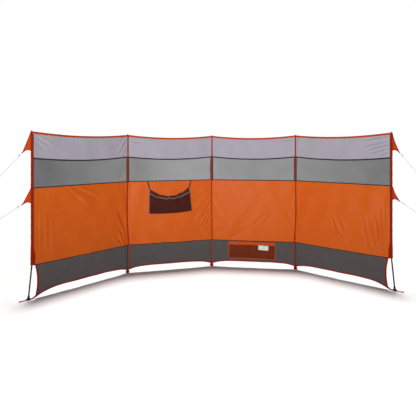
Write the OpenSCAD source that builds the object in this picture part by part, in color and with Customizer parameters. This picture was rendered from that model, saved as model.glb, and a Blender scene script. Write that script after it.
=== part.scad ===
// Beach windbreak: four cloth bays between five poles, held up by guy ropes.
// Frame: +Z up, +X to the right along the wall, -Y towards the people who sit in its shelter.
// The origin is under the centre pole, on the ground.

/* [Wall] */
// Height of a pole's tip above the ground
wall_h = 1500; // [1000:10:2000]
// Distance from one pole to the next
bay_w = 938; // [700:2:1300]
// Angle by which the two inner bays turn from the straight line
inner_turn = 10; // [4:1:20]
// Angle by which the two outer bays turn from the straight line
outer_turn = 39; // [22:1:50]

/* [Cloth bands] */
// Distance from a pole's tip down to the hem
hem_drop = 12; // [8:1:30]
// How far the hem sags between two poles
hem_sag = 28; // [0:1:60]
// Height of the top band at the poles
top_band_h = 238; // [120:2:400]
// How far the seam under the top band sags between two poles
upper_seam_sag = 28; // [0:1:60]
// Height of the window band at the poles
window_band_h = 265; // [120:5:400]
// Height of the seam under the main band
lower_seam_z = 300; // [200:5:500]
// Height of the skirt's lower edge at mid bay
skirt_mid_z = 68; // [40:1:120]
// Height of the skirt's lower edge at the three middle poles
skirt_post_z = 30; // [20:1:38]
// Height of the skirt's outer corners
skirt_corner_z = 10; // [6:1:30]
// Distance from an end pole to the skirt's upper outer corner
skirt_top_inset = 24; // [22:1:60]
// Distance from an end pole to the skirt's side edge at half height
skirt_waist_inset = 42; // [24:1:90]
// Thickness of the cloth
cloth_t = 1.5; // [0.8:0.1:3]

/* [Trim] */
// Thickness of bindings and tapes
trim_t = 1.2; // [0.6:0.1:2]
// Width of the hem binding
hem_w = 9; // [5:0.5:20]
// Width of the binding up each pole seam
binding_w = 15; // [8:0.5:24]
// Width of the tape on the upper seam
upper_tape_w = 12; // [5:0.5:20]
// Width of the tapes on the two lower seams
lower_tape_w = 6; // [3:0.5:16]

/* [Poles] */
// Diameter of a pole
pole_d = 12; // [8:0.5:20]
// How far the end poles splay outwards at the ground
end_splay = 28; // [0:1:60]
// Thickness of the sleeve cloth
sleeve_t = 1.2; // [0.6:0.1:2.5]
// Play of a pole in its sleeve, all round
sleeve_play = 1.5; // [0.5:0.1:5]
// Width of a middle sleeve's sewn flange on each side of its pole
flange_w = 18; // [14:1:40]
// Width of the flange beside an end pole's sleeve
end_flange_w = 2; // [1:0.5:30]
// Length of the pocket over a pole's tip
tip_pocket_h = 45; // [25:1:80]
// Width of the webbing pocket under a middle pole
foot_pocket_d = 34; // [26:1:50]
// Diameter of an end foot's base
foot_base_d = 38; // [26:1:60]
// Height of an end foot
foot_h = 28; // [18:1:60]

/* [Foot straps] */
// Width of the webbing
strap_w = 18; // [10:1:30]
// Thickness of the webbing
strap_t = 2.4; // [1.2:0.2:4]
// Length of the stake tab beyond the end foot
tab_l = 55; // [30:1:120]

/* [Guys] */
// Horizontal reach of the end guys from their pole to the peg
end_reach = 1480; // [900:10:2200]
// Angle by which the end guys run back behind the wall
end_sweep = 12; // [0:1:40]
// Horizontal reach of the back guys from their pole to the peg
back_reach = 1400; // [900:10:2200]
// Height of an upper flap along its pole
upper_flap_h = 172; // [100:2:220]
// Height of a lower flap along its pole
lower_flap_h = 135; // [80:2:200]
// Reach of a flap from the pole's axis
flap_reach = 86; // [50:1:140]
// Diameter of the guy rope
rope_d = 3; // [2:0.5:6]
// Diameter of a peg's wire
peg_d = 6; // [4:0.5:10]
// Height of a peg above the ground
peg_h = 46; // [36:1:80]

/* [Hanging pocket] */
// Width of the pocket
hang_w = 464; // [250:2:600]
// Height of the pocket's corners above its lower edge
hang_h = 256; // [150:2:350]
// Distance from the seam under the window band down to the pocket's corners
hang_drop = 89; // [30:1:200]
// Distance from the bay's left pole to the pocket's middle
hang_mid = 462; // [350:2:560]
// How far the front stands out from the back at mid width
hang_bulge = 30; // [16:1:60]
// How far the back's upper edge sags
hang_back_sag = 78; // [20:1:120]
// How far the front's corners lie below the back's
hang_front_drop = 48; // [20:1:80]
// Gap between the wall and the pocket
hang_gap = 4; // [3:1:20]
// Width of the hanging straps and of the binding
hang_trim_w = 9; // [5:0.5:16]

/* [Floor pocket] */
// Width of the pocket
floor_w = 522; // [250:2:600]
// Height of the pocket
floor_h = 188; // [120:2:195]
// Distance from the bay's left pole to the pocket's middle
floor_mid = 456; // [350:2:560]
// Distance from the pocket's left side to its divider
divider_x = 226; // [100:2:240]
// Inner depth of the pocket
floor_depth = 20; // [12:1:40]
// Width of the trim along the mouth
floor_mouth_w = 32; // [10:1:50]
// Width of the trim along the other edges
floor_edge_w = 8; // [4:0.5:16]
// Width of the blank label
label_w = 110; // [50:1:140]
// Height of the blank label
label_h = 52; // [20:1:80]
// Distance from the pocket's middle to the label's left side
label_x = 72; // [0:1:100]

/* [Hidden] */
$fn = 48;
BAYS = 4;
POSTS = 5;
CENTRE = 2;
EDGE_STEPS = 20;
heading = [outer_turn, inner_turn, -inner_turn, -outer_turn];
// Play between pieces that lie side by side
gap = 0.3;
hem_z = wall_h - hem_drop;
upper_seam_z = hem_z - top_band_h;
middle_seam_z = upper_seam_z - window_band_h;
pole_r = pole_d / 2;
sleeve_bore_r = pole_r + sleeve_play;
sleeve_r = sleeve_bore_r + sleeve_t;
// Local y of the cloth's back, of its front and of the trim's front
cloth_back = -sleeve_r;
cloth_front = cloth_back - cloth_t;
trim_front = cloth_front - trim_t;
// A flange is thinner than its sleeve's ring, and the ring is tucked in behind the flange's face
flange_t = sleeve_t * 0.7;
tuck = sleeve_t * 0.2;
// The pointed tip pockets
tip_pocket_z = wall_h - tip_pocket_h;
tip_cone_h = 14;
tip_point_r = 3;
pole_top_z = wall_h - tip_cone_h;
// The higher this power, the flatter the skirt's lower edge runs between its corners
skirt_power = 5;
binding_foot_rise = 8;
foot_pocket_floor = 3;
foot_pocket_h = skirt_post_z - 3;
foot_base_h = 5;
foot_wall = 3;
end_lean = atan2(end_splay, lower_seam_z - strap_t - foot_wall);
elbow_r = pole_r * 1.05;
elbow_rise = pole_r * 0.15;
// Guys and pegs
flap_tip_drop = 8;
flap_tip_h = 5;
flap_hollow = 26;
knot_r = 3.2;
rope_r = rope_d / 2;
peg_r = peg_d / 2;
loop_r = peg_r + rope_r;
loop_z = 14;
hook_r = 9;
hook_leg = 10;
slider_from_tip = 40;
slider_l = 24;
slider_r = rope_r + 2.5;
// The pockets' net, and where each pocket stands
net_t = 1.5;
HANG_BAY = 1;
HANG_STEPS = 16;
hang_z = middle_seam_z - hang_drop - hang_h;
hang_back_y = cloth_front - hang_gap - net_t;
hang_mouth_sag = 60;
hang_strap_lap = 12;
FLOOR_BAY = 2;
floor_z = lower_seam_z - floor_h - 12;
floor_front_y = cloth_front - floor_depth - net_t;
label_drop = 1;

// One row for each guy: its post, the top of its flap, the flap's height and the loop's height
GUYS = [
    [0, hem_z, upper_flap_h, loop_z + rope_d + gap],
    [0, middle_seam_z, lower_flap_h, loop_z],
    [4, hem_z, upper_flap_h, loop_z + rope_d + gap],
    [4, middle_seam_z, lower_flap_h, loop_z],
    [1, hem_z, upper_flap_h, loop_z],
    [2, hem_z, upper_flap_h, loop_z],
    [3, hem_z, upper_flap_h, loop_z]
];
LEFT_GUYS = [0, 1];
RIGHT_GUYS = [2, 3];
BACK_GUYS = [4, 5, 6];

// ---- Where things stand ----

// Ground position of each post; the centre pole stands at the origin
function step(k) = bay_w * [cos(heading[k]), sin(heading[k])];
function post_at(i) =
    i == CENTRE ? [0, 0] : i < CENTRE ? post_at(i + 1) - step(i) : post_at(i - 1) + step(i - 1);

function is_end(i) = i == 0 || i == BAYS;

// Turn of a post's back from +Y, midway between its two bays
function post_turn(i) = i == 0 ? heading[0] : i == BAYS ? heading[BAYS - 1] : (heading[i - 1] + heading[i]) / 2;

// How far cloth stops short of a post's axis, so that two bays meet at their mitre
function mitre(i) = -trim_front * tan(abs(heading[i - 1] - heading[i]) / 2) + gap / 2;

// Where a bay's cloth starts and ends along the bay
function cloth_start(k) = k == 0 ? sleeve_r + end_flange_w : mitre(k);
function cloth_end(k) = bay_w - (k == BAYS - 1 ? sleeve_r + end_flange_w : mitre(k + 1));

// A bay's own frame: x along the bay, y to the back, z up
module on_bay(k) {
    translate(post_at(k)) rotate([0, 0, heading[k]]) children();
}

// An end post's own frame: x inwards along its bay, y to the back, z up
module on_end(i) {
    translate(post_at(i)) rotate([0, 0, post_turn(i)]) mirror([i == 0 ? 0 : 1, 0, 0]) children();
}

// A guy's own frame: x outwards from the pole to the peg, z up
function guy_heading(i) = i == 0 ? 180 - end_sweep : i == BAYS ? end_sweep : 90 + post_turn(i);
function guy_reach(i) = is_end(i) ? end_reach : back_reach;
module on_guy(i) {
    translate(post_at(i)) rotate([0, 0, guy_heading(i)]) children();
}

// Draws an outline of x and z as a sheet that fills y from front to back
module sheet(front, back) {
    translate([0, back, 0]) rotate([90, 0, 0]) linear_extrude(height = back - front) children();
}

// A round bar from one point of x and z to another
module bar(a, b, r) {
    d = b - a;
    translate([a[0], 0, a[1]]) rotate([0, atan2(d[0], d[1]), 0]) cylinder(h = norm(d), r = r);
}

// ---- Edges along a bay ----

function stations(a, b) = [for (s = [0:EDGE_STEPS]) a + (b - a) * s / EDGE_STEPS];
function reversed(list) = [for (s = [len(list) - 1:-1:0]) list[s]];

function dip(x) = 4 * (x / bay_w) * (1 - x / bay_w);
function hem_at(x) = hem_z - hem_sag * dip(x);
function upper_seam_at(x) = upper_seam_z - upper_seam_sag * dip(x);

// Inset of the skirt's free side edge from the end pole, at height z
function side_inset(z) =
    let (u = (z - skirt_corner_z) / (lower_seam_z - skirt_corner_z))
    skirt_top_inset + (skirt_waist_inset - skirt_top_inset) * 4 * u * (1 - u);

// Where the skirt's lower edge starts and ends along a bay, and how high it runs
function skirt_start(k) = k == 0 ? side_inset(skirt_corner_z) : cloth_start(k);
function skirt_end(k) = k == BAYS - 1 ? bay_w - side_inset(skirt_corner_z) : cloth_end(k);
function skirt_low(i) = is_end(i) ? skirt_corner_z : skirt_post_z;
function skirt_at(k, x) =
    let (
        u = 2 * (x - skirt_start(k)) / (skirt_end(k) - skirt_start(k)) - 1,
        low = skirt_low(u < 0 ? k : k + 1)
    )
    skirt_mid_z - (skirt_mid_z - low) * pow(abs(u), skirt_power);

// The skirt's lower edge from left to right, and its free side edge upwards from the corner
function skirt_edge(k) = [for (x = stations(skirt_start(k), skirt_end(k))) [x, skirt_at(k, x)]];
function side_edge(k, top = lower_seam_z) =
    [for (z = stations(skirt_corner_z, top)) [k == 0 ? side_inset(z) : bay_w - side_inset(z), z]];

// A path moved sideways by d, to the left of its run; its ends are cut square to the axes
function across(path, s) =
    let (t = path[min(s + 1, len(path) - 1)] - path[max(s - 1, 0)])
    s > 0 && s < len(path) - 1 ? [-t[1], t[0]] / norm(t)
        : abs(t[0]) > abs(t[1]) ? [0, sign(t[0])] : [-sign(t[1]), 0];
function shifted(path, d) = [for (s = [0:len(path) - 1]) path[s] + d * across(path, s)];
function ribbon(path, low, high) = concat(shifted(path, low), reversed(shifted(path, high)));

// ---- The four bands of cloth ----

module band(k, low, high) {
    on_bay(k) sheet(cloth_front, cloth_back) polygon(concat(low, reversed(high)));
}

module top_panel(k) {
    xs = stations(cloth_start(k), cloth_end(k));
    color([0.57, 0.55, 0.59])
        band(k, [for (x = xs) [x, upper_seam_at(x)]], [for (x = xs) [x, hem_at(x)]]);
}

module window_panel(k) {
    xs = stations(cloth_start(k), cloth_end(k));
    color([0.5, 0.5, 0.51])
        band(k, [[xs[0], middle_seam_z], [xs[EDGE_STEPS], middle_seam_z]],
            [for (x = xs) [x, upper_seam_at(x)]]);
}

module main_panel(k) {
    a = cloth_start(k);
    b = cloth_end(k);
    color([0.8, 0.35, 0.12])
        band(k, [[a, lower_seam_z], [b, lower_seam_z]], [[a, middle_seam_z], [b, middle_seam_z]]);
}

module skirt_panel(k) {
    left = k == 0 ? reversed(side_edge(k)) : [[cloth_start(k), lower_seam_z], skirt_edge(k)[0]];
    right = k == BAYS - 1 ? side_edge(k) : [skirt_edge(k)[EDGE_STEPS], [cloth_end(k), lower_seam_z]];
    inner_edge = [for (s = [1:EDGE_STEPS - 1]) skirt_edge(k)[s]];
    color([0.31, 0.3, 0.3]) on_bay(k)
        sheet(cloth_front, cloth_back) polygon(concat(left, inner_edge, right));
}

// ---- Bindings and tapes ----

// A binding that lies on the cloth's front along an edge and turns over the edge's thickness
module edge_binding(path, inward) {
    turned = inward > 0 ? -trim_t : trim_t;
    sheet(trim_front, cloth_front) polygon(ribbon(path, turned, inward));
    sheet(cloth_front, cloth_back) polygon(ribbon(path, turned, 0));
}

module top_hem() {
    color([0.66, 0.25, 0.1]) for (k = [0:BAYS - 1])
        on_bay(k) edge_binding([for (x = stations(cloth_start(k), cloth_end(k))) [x, hem_at(x)]], -hem_w);
}

module skirt_hem() {
    color([0.6, 0.16, 0.08]) for (k = [0:BAYS - 1]) on_bay(k) {
        left = k == 0 ? [[skirt_start(k) - trim_t, skirt_corner_z]] : [];
        right = k == BAYS - 1 ? [[skirt_end(k) + trim_t, skirt_corner_z]] : [];
        edge_binding(concat(left, skirt_edge(k), right), hem_w);
        side_top = lower_seam_z - lower_tape_w / 2;
        if (k == 0) edge_binding(reversed(side_edge(k, side_top)), hem_w);
        if (k == BAYS - 1) edge_binding(side_edge(k, side_top), hem_w);
    }
}

// Half of the binding up a pole seam: the wing on one bay, from x = a to x = b
module binding_wing(k, a, b) {
    outer = abs(a - bay_w / 2) < abs(b - bay_w / 2) ? a : b;
    low = skirt_at(k, outer) + hem_w + binding_foot_rise;
    high = hem_at(outer) - hem_w - gap;
    on_bay(k) sheet(trim_front, cloth_front) polygon([[a, low], [b, low], [b, high], [a, high]]);
}

module seam_bindings() {
    color([0.66, 0.2, 0.08]) for (i = [1:POSTS - 2]) {
        binding_wing(i - 1, bay_w - mitre(i) - binding_w / 2, bay_w - mitre(i));
        binding_wing(i, mitre(i), mitre(i) + binding_w / 2);
    }
}

// Where a seam's tape starts and ends, beside the bindings up the pole seams
function tape_start(k) = k == 0 ? cloth_start(k) : mitre(k) + binding_w / 2 + gap;
function tape_end(k) = k == BAYS - 1 ? cloth_end(k) : bay_w - mitre(k + 1) - binding_w / 2 - gap;

module seam_tapes() {
    color([0.2, 0.2, 0.22]) for (k = [0:BAYS - 1]) on_bay(k) sheet(trim_front, cloth_front) {
        xs = stations(tape_start(k), tape_end(k));
        straight_end = [tape_start(k), tape_end(k)];
        polygon(ribbon([for (x = xs) [x, upper_seam_at(x)]], -upper_tape_w / 2, upper_tape_w / 2));
        for (z = [middle_seam_z, lower_seam_z])
            polygon(ribbon([for (x = straight_end) [x, z]], -lower_tape_w / 2, lower_tape_w / 2));
    }
}

// ---- Poles, and what holds them in the cloth ----

module straight_pole(i) {
    translate([post_at(i)[0], post_at(i)[1], foot_pocket_floor])
        cylinder(h = pole_top_z - foot_pocket_floor, r = pole_r);
}

// An end pole stands upright in its sleeve, bends at a rounded elbow below it and leans outwards
module leaning_pole(i) {
    foot = [-end_splay, strap_t + foot_wall];
    on_end(i) {
        bar(foot, [0, lower_seam_z], pole_r);
        translate([0, 0, lower_seam_z]) sphere(r = elbow_r);
        translate([0, 0, lower_seam_z + elbow_rise]) cylinder(h = pole_top_z - lower_seam_z - elbow_rise, r = pole_r);
    }
}

module pole(i) {
    color([0.07, 0.07, 0.08]) {
        if (is_end(i)) leaning_pole(i);
        else straight_pole(i);
    }
}

// A sleeve is a tube with sewn flanges: beside the cloth at an end pole, behind it at a middle pole
module end_sleeve_plan() {
    difference() {
        union() {
            circle(r = sleeve_r - tuck);
            translate([0, cloth_front]) square([sleeve_r + end_flange_w, cloth_t + flange_t]);
        }
        circle(r = sleeve_bore_r);
    }
}

// A middle sleeve's flange on one bay, joined into the sleeve's ring just past the mitre
module flange_plan(half_turn) {
    start = -cloth_back * tan(half_turn) + gap / 2;
    ring_mid = (sleeve_bore_r + sleeve_r - tuck) / 2;
    root = half_turn + 2;
    polygon([
        [start, cloth_back], [flange_w, cloth_back], [flange_w, cloth_back + flange_t],
        [start, cloth_back + flange_t], ring_mid * [sin(root), -cos(root)]
    ]);
}

module middle_sleeve_plan(half_turn) {
    difference() {
        union() {
            circle(r = sleeve_r - tuck);
            for (side = [0, 1]) mirror([side, 0]) rotate(-half_turn) flange_plan(half_turn);
        }
        circle(r = sleeve_bore_r);
    }
}

module pole_sleeves() {
    h = tip_pocket_z - lower_seam_z;
    color([0.72, 0.25, 0.1]) {
        for (i = [1:POSTS - 2])
            translate([post_at(i)[0], post_at(i)[1], lower_seam_z]) rotate(post_turn(i))
                linear_extrude(height = h) middle_sleeve_plan((heading[i - 1] - heading[i]) / 2);
        for (i = [0, BAYS])
            on_end(i) translate([0, 0, lower_seam_z]) linear_extrude(height = h) end_sleeve_plan();
    }
}

module tip_pockets() {
    color([0.62, 0.14, 0.08]) for (i = [0:BAYS]) translate(post_at(i)) rotate_extrude()
        polygon([
            [pole_r, tip_pocket_z], [sleeve_r, tip_pocket_z], [sleeve_r, wall_h - tip_cone_h],
            [tip_point_r, wall_h], [0, wall_h], [0, pole_top_z], [pole_r, pole_top_z]
        ]);
}

module pole_feet() {
    color([0.05, 0.05, 0.05]) for (i = [0, BAYS]) on_end(i) translate([-end_splay, 0, strap_t]) difference() {
        union() {
            cylinder(h = foot_base_h, d = foot_base_d);
            rotate([0, end_lean, 0]) translate([0, 0, foot_wall]) cylinder(h = foot_h, r = pole_r + foot_wall);
        }
        translate([0, 0, foot_wall]) rotate([0, end_lean, 0]) cylinder(h = foot_h * 2, r = pole_r);
    }
}

module foot_pocket(i) {
    r = foot_pocket_d / 2;
    color([0.55, 0.02, 0.04]) translate(post_at(i)) rotate_extrude()
        polygon([
            [0, 0], [r - 2, 0], [r, 2], [r, foot_pocket_h - 5], [r - 5, foot_pocket_h],
            [pole_r, foot_pocket_h], [pole_r, foot_pocket_floor], [0, foot_pocket_floor]
        ]);
}

// Webbing from the skirt's corner down to the end foot, and on to a stake tab
module foot_straps() {
    corner = side_inset(skirt_corner_z) - trim_t - gap;
    base_x = -end_splay + foot_base_d / 2;
    tab_x = -end_splay - foot_base_d / 2 - tab_l;
    color([0.6, 0.03, 0.06]) for (i = [0, BAYS]) on_end(i) {
        sheet(cloth_front, cloth_back) polygon([
            [corner, skirt_corner_z + strap_w * 1.2], [corner, skirt_corner_z - trim_t],
            [base_x + strap_w / 2, strap_t], [base_x, strap_t], [base_x, strap_w * 0.7]
        ]);
        translate([tab_x, cloth_front, 0]) cube([base_x + strap_w / 2 - tab_x, strap_w, strap_t]);
    }
}

// ---- Guy flaps, ropes and pegs ----

function bend(a, c, b) =
    [for (s = [0:8]) let (t = s / 8) (1 - t) * (1 - t) * a + 2 * t * (1 - t) * c + t * t * b];
function flap_tip_z(g) = g[1] - g[2] - flap_tip_drop;

module flap(g) {
    top = [sleeve_r, g[1]];
    low = [sleeve_r, g[1] - g[2]];
    tip = [flap_reach, flap_tip_z(g)];
    upper = bend(top, (top + tip) / 2 + [-6, -3], tip + [0, flap_tip_h]);
    lower = bend(tip - [0, flap_tip_h], (low + tip) / 2 + [0, flap_hollow], low);
    color([0.8, 0.3, 0.08]) on_guy(g[0])
        sheet(-cloth_t / 2, cloth_t / 2) polygon(concat(upper, lower));
}

module flaps(numbers) {
    for (n = numbers) flap(GUYS[n]);
}

function knot_at(g) = [flap_reach + knot_r, flap_tip_z(g)];
function loop_at(g) = [guy_reach(g[0]) - loop_r, g[3]];

module guy_ropes() {
    color([0.82, 0.82, 0.8]) for (g = GUYS) on_guy(g[0]) {
        bar(knot_at(g), loop_at(g), rope_r);
        translate([knot_at(g)[0], 0, knot_at(g)[1]]) sphere(r = knot_r);
        translate([guy_reach(g[0]), 0, g[3]]) rotate_extrude() translate([loop_r, 0]) circle(r = rope_r);
    }
}

module rope_sliders() {
    color([0.25, 0.25, 0.27]) for (g = GUYS) on_guy(g[0]) {
        run = loop_at(g) - knot_at(g);
        along = run / norm(run);
        a = knot_at(g) + along * slider_from_tip;
        difference() {
            bar(a, a + along * slider_l, slider_r);
            bar(a - along, a + along * (slider_l + 1), rope_r);
        }
    }
}

module peg(i) {
    hook_z = peg_h - hook_r - peg_r;
    color([0.6, 0.6, 0.62]) on_guy(i) translate([guy_reach(i), 0, 0]) {
        cylinder(h = hook_z, r = peg_r);
        translate([hook_r, 0, hook_z]) rotate([90, 0, 0]) rotate_extrude(angle = 180)
            translate([hook_r, 0]) circle(r = peg_r);
        translate([2 * hook_r, 0, hook_z - hook_leg]) cylinder(h = hook_leg, r = peg_r);
    }
}

module pegs() {
    for (i = [0:BAYS]) peg(i);
}

// ---- The pocket that hangs on the main band ----

function hang_dip(x) = 1 - pow(2 * x / hang_w, 2);
function hang_back_top(x) = hang_h - hang_back_sag * hang_dip(x);
function hang_mouth(x) = hang_h - hang_front_drop - hang_mouth_sag * hang_dip(x);
hang_xs = [for (s = [0:HANG_STEPS]) hang_w * (s / HANG_STEPS - 0.5)];

module on_hang() {
    on_bay(HANG_BAY) translate([hang_mid, 0, hang_z]) children();
}

// Plan of the bulging front
module hang_front_plan() {
    outer = [for (x = hang_xs) [x, hang_back_y - hang_bulge * hang_dip(x)]];
    inner = [for (p = outer) [p[0], min(p[1] + net_t, hang_back_y)]];
    polygon(concat(outer, reversed([for (s = [1:HANG_STEPS - 1]) inner[s]])));
}

// The front between two heights over its lower edge
module hang_front(low, high) {
    intersection() {
        linear_extrude(height = hang_h) hang_front_plan();
        sheet(hang_back_y - hang_bulge - 1, hang_back_y + 1)
            polygon(concat([for (x = hang_xs) [x, low(x)]], reversed([for (x = hang_xs) [x, high(x)]])));
    }
}

module hanging_pocket_back() {
    color([0.3, 0.13, 0.11]) on_hang() sheet(hang_back_y, hang_back_y + net_t)
        polygon(concat([[hang_w / 2, 0], [-hang_w / 2, 0]], [for (x = hang_xs) [x, hang_back_top(x)]]));
}

module hanging_pocket_front() {
    color([0.27, 0.11, 0.1]) on_hang() {
        hang_front(function (x) 0, function (x) hang_mouth(x) - hang_trim_w);
        linear_extrude(height = net_t)
            polygon([for (x = hang_xs) [x, hang_back_y - hang_bulge * hang_dip(x)]]);
    }
}

module hanging_pocket_binding() {
    color([0.45, 0.42, 0.46]) on_hang() {
        hang_front(function (x) hang_mouth(x) - hang_trim_w, function (x) hang_mouth(x));
        for (side = [-1, 1])
            translate([side * (hang_w / 2 + trim_t / 2), hang_back_y, hang_h / 2])
                cube([trim_t, 2 * net_t, hang_h], center = true);
    }
}

module hanging_straps() {
    strap_y = cloth_front - hang_gap;
    strap_depth = hang_gap - trim_t;
    strap_low = hang_h - hang_strap_lap;
    strap_high = middle_seam_z + lower_tape_w / 2 - hang_z;
    color([0.35, 0.34, 0.36]) on_hang() for (side = [-1, 1])
        translate([side * (hang_w - hang_trim_w) / 2 - hang_trim_w / 2, strap_y, strap_low])
            cube([hang_trim_w, strap_depth, strap_high - strap_low]);
}

// ---- The pocket sewn to the skirt ----

module on_floor_pocket() {
    on_bay(FLOOR_BAY) translate([floor_mid - floor_w / 2, 0, floor_z]) children();
}

module floor_pocket_net() {
    depth = floor_depth + net_t;
    color([0.38, 0.14, 0.1]) on_floor_pocket() translate([0, floor_front_y, 0]) {
        cube([floor_w, net_t, floor_h]);
        cube([floor_w, depth, net_t]);
        for (x = [0, divider_x, floor_w - net_t]) translate([x, 0, 0]) cube([net_t, depth, floor_h]);
    }
}

module floor_pocket_trim() {
    color([0.8, 0.33, 0.12]) on_floor_pocket() sheet(floor_front_y - trim_t, floor_front_y) difference() {
        square([floor_w, floor_h]);
        translate([floor_edge_w, floor_edge_w])
            square([floor_w - 2 * floor_edge_w, floor_h - floor_mouth_w - floor_edge_w]);
    }
}

module blank_label() {
    label_z = floor_h - floor_mouth_w - label_h - label_drop;
    color([0.9, 0.9, 0.9]) on_floor_pocket()
        translate([floor_w / 2 + label_x, floor_front_y - trim_t, label_z]) cube([label_w, trim_t, label_h]);
}

// ---- Nodes ----

for (k = [1:BAYS]) {
    top_panel(k - 1);
    window_panel(k - 1);
    main_panel(k - 1);
    skirt_panel(k - 1);
}
for (i = [1:POSTS])
    pole(i - 1);
pole_sleeves();
tip_pockets();
pole_feet();
foot_pocket(1);  // foot_pocket_left
foot_pocket(CENTRE);  // foot_pocket_centre
foot_pocket(3);  // foot_pocket_right
foot_straps();
seam_bindings();
top_hem();
seam_tapes();
skirt_hem();
flaps(LEFT_GUYS);  // end_flaps_left
flaps(RIGHT_GUYS);  // end_flaps_right
flaps(BACK_GUYS);  // back_flaps
guy_ropes();
rope_sliders();
pegs();
hanging_pocket_back();
hanging_pocket_front();
hanging_pocket_binding();
hanging_straps();
floor_pocket_net();
floor_pocket_trim();
blank_label();
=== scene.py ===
"""A beach windbreak in cloth, net, webbing and rope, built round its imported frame."""

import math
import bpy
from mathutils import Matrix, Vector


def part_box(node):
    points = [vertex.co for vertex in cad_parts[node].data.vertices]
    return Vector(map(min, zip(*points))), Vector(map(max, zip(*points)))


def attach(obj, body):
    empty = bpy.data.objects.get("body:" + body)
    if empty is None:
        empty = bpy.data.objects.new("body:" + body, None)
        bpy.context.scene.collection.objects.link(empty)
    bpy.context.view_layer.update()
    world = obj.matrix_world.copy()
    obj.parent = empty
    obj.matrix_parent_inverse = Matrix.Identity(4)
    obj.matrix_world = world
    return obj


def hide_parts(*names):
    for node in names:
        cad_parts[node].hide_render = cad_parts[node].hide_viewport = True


bl_info = {
    "name": "Beach Windbreak",
    "version": (1, 0, 0),
    "blender": (4, 5, 0),
    "location": "View3D > Sidebar > Windbreak",
    "description": "Sews the cloth, pockets and guys of a beach windbreak round its frame",
    "category": "Add Mesh",
}

import bmesh
import bpy
import numpy as np
from bpy.props import FloatProperty, FloatVectorProperty, PointerProperty
from mathutils import Vector

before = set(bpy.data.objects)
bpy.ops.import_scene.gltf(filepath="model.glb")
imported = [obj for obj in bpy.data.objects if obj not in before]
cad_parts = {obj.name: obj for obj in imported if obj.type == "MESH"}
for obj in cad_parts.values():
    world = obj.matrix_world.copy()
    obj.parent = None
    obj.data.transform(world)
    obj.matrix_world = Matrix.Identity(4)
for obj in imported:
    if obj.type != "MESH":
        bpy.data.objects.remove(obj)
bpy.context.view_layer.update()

# ---- Sizes taken from the frame, in metres ----


def upright_axis(name):
    """Where a node stands on the ground plan, taken from its upper half."""
    points = np.array([v.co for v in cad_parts[name].data.vertices], float)
    upper = points[points[:, 2] > 0.7 * points[:, 2].max()]
    return (upper[:, :2].max(0) + upper[:, :2].min(0)) / 2


POSTS = np.array([upright_axis(f"pole_{i}") for i in range(1, 6)])
BAYS = len(POSTS) - 1
RUNS = np.diff(POSTS, axis=0)
BAY_W = float(np.linalg.norm(RUNS, axis=1).mean())
ALONG = RUNS / np.linalg.norm(RUNS, axis=1)[:, None]
BACK = np.stack([-ALONG[:, 1], ALONG[:, 0]], 1)
HEADING = np.arctan2(ALONG[:, 1], ALONG[:, 0])
TIP_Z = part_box("tip_pockets")[1].z

# Heights of the hem and seams at the poles, and how far the curved ones sag
HEM_Z, HEM_SAG = 1.488, 0.028
UPPER_Z, UPPER_SAG = 1.250, 0.028
MIDDLE_Z = 0.985
LOWER_Z = 0.300
SKIRT_MID_Z, SKIRT_POST_Z, SKIRT_CORNER_Z = 0.068, 0.030, 0.010
SKIRT_POWER = 5
SKIRT_TOP_INSET, SKIRT_WAIST_INSET = 0.024, 0.042

# The cloth's front face lies this far in front of the poles' axes
CLOTH_Y = -0.0102
CLOTH_T = 0.0009
SLEEVE_R = 0.0087
FLANGE_W = 0.018
END_EDGE = 0.0078
TIP_POCKET_H = 0.045
CELL = 0.0068
SEAM_ALLOWANCE = 0.010


def smooth_step(x):
    x = np.clip(x, 0, 1)
    return x * x * (3 - 2 * x)


def dip(s):
    return 4 * (s / BAY_W) * (1 - s / BAY_W)


def hem_height(s):
    return HEM_Z - HEM_SAG * dip(s)


def upper_seam_height(s):
    return UPPER_Z - UPPER_SAG * dip(s)


def side_inset(z):
    u = (z - SKIRT_CORNER_Z) / (LOWER_Z - SKIRT_CORNER_Z)
    return SKIRT_TOP_INSET + (SKIRT_WAIST_INSET - SKIRT_TOP_INSET) * 4 * u * (1 - u)


def half_turn(i):
    """Half of the angle between the two bays that meet at post i."""
    return float(HEADING[i - 1] - HEADING[i]) / 2


def mitre(i, depth=-CLOTH_Y):
    return depth * math.tan(half_turn(i))


def cloth_start(k):
    return END_EDGE if k == 0 else mitre(k)


def cloth_end(k):
    return BAY_W - (END_EDGE if k == BAYS - 1 else mitre(k + 1))


def skirt_height(k, a):
    """The skirt's lower edge, where a runs from 0 to 1 along the bay."""
    u = 2 * a - 1
    left = SKIRT_CORNER_Z if k == 0 else SKIRT_POST_Z
    right = SKIRT_CORNER_Z if k == BAYS - 1 else SKIRT_POST_Z
    low = np.where(u < 0, left, right)
    return SKIRT_MID_Z - (SKIRT_MID_Z - low) * np.abs(u) ** SKIRT_POWER


# ---- How the cloth hangs: creases and gathers over each bay ----

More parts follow.
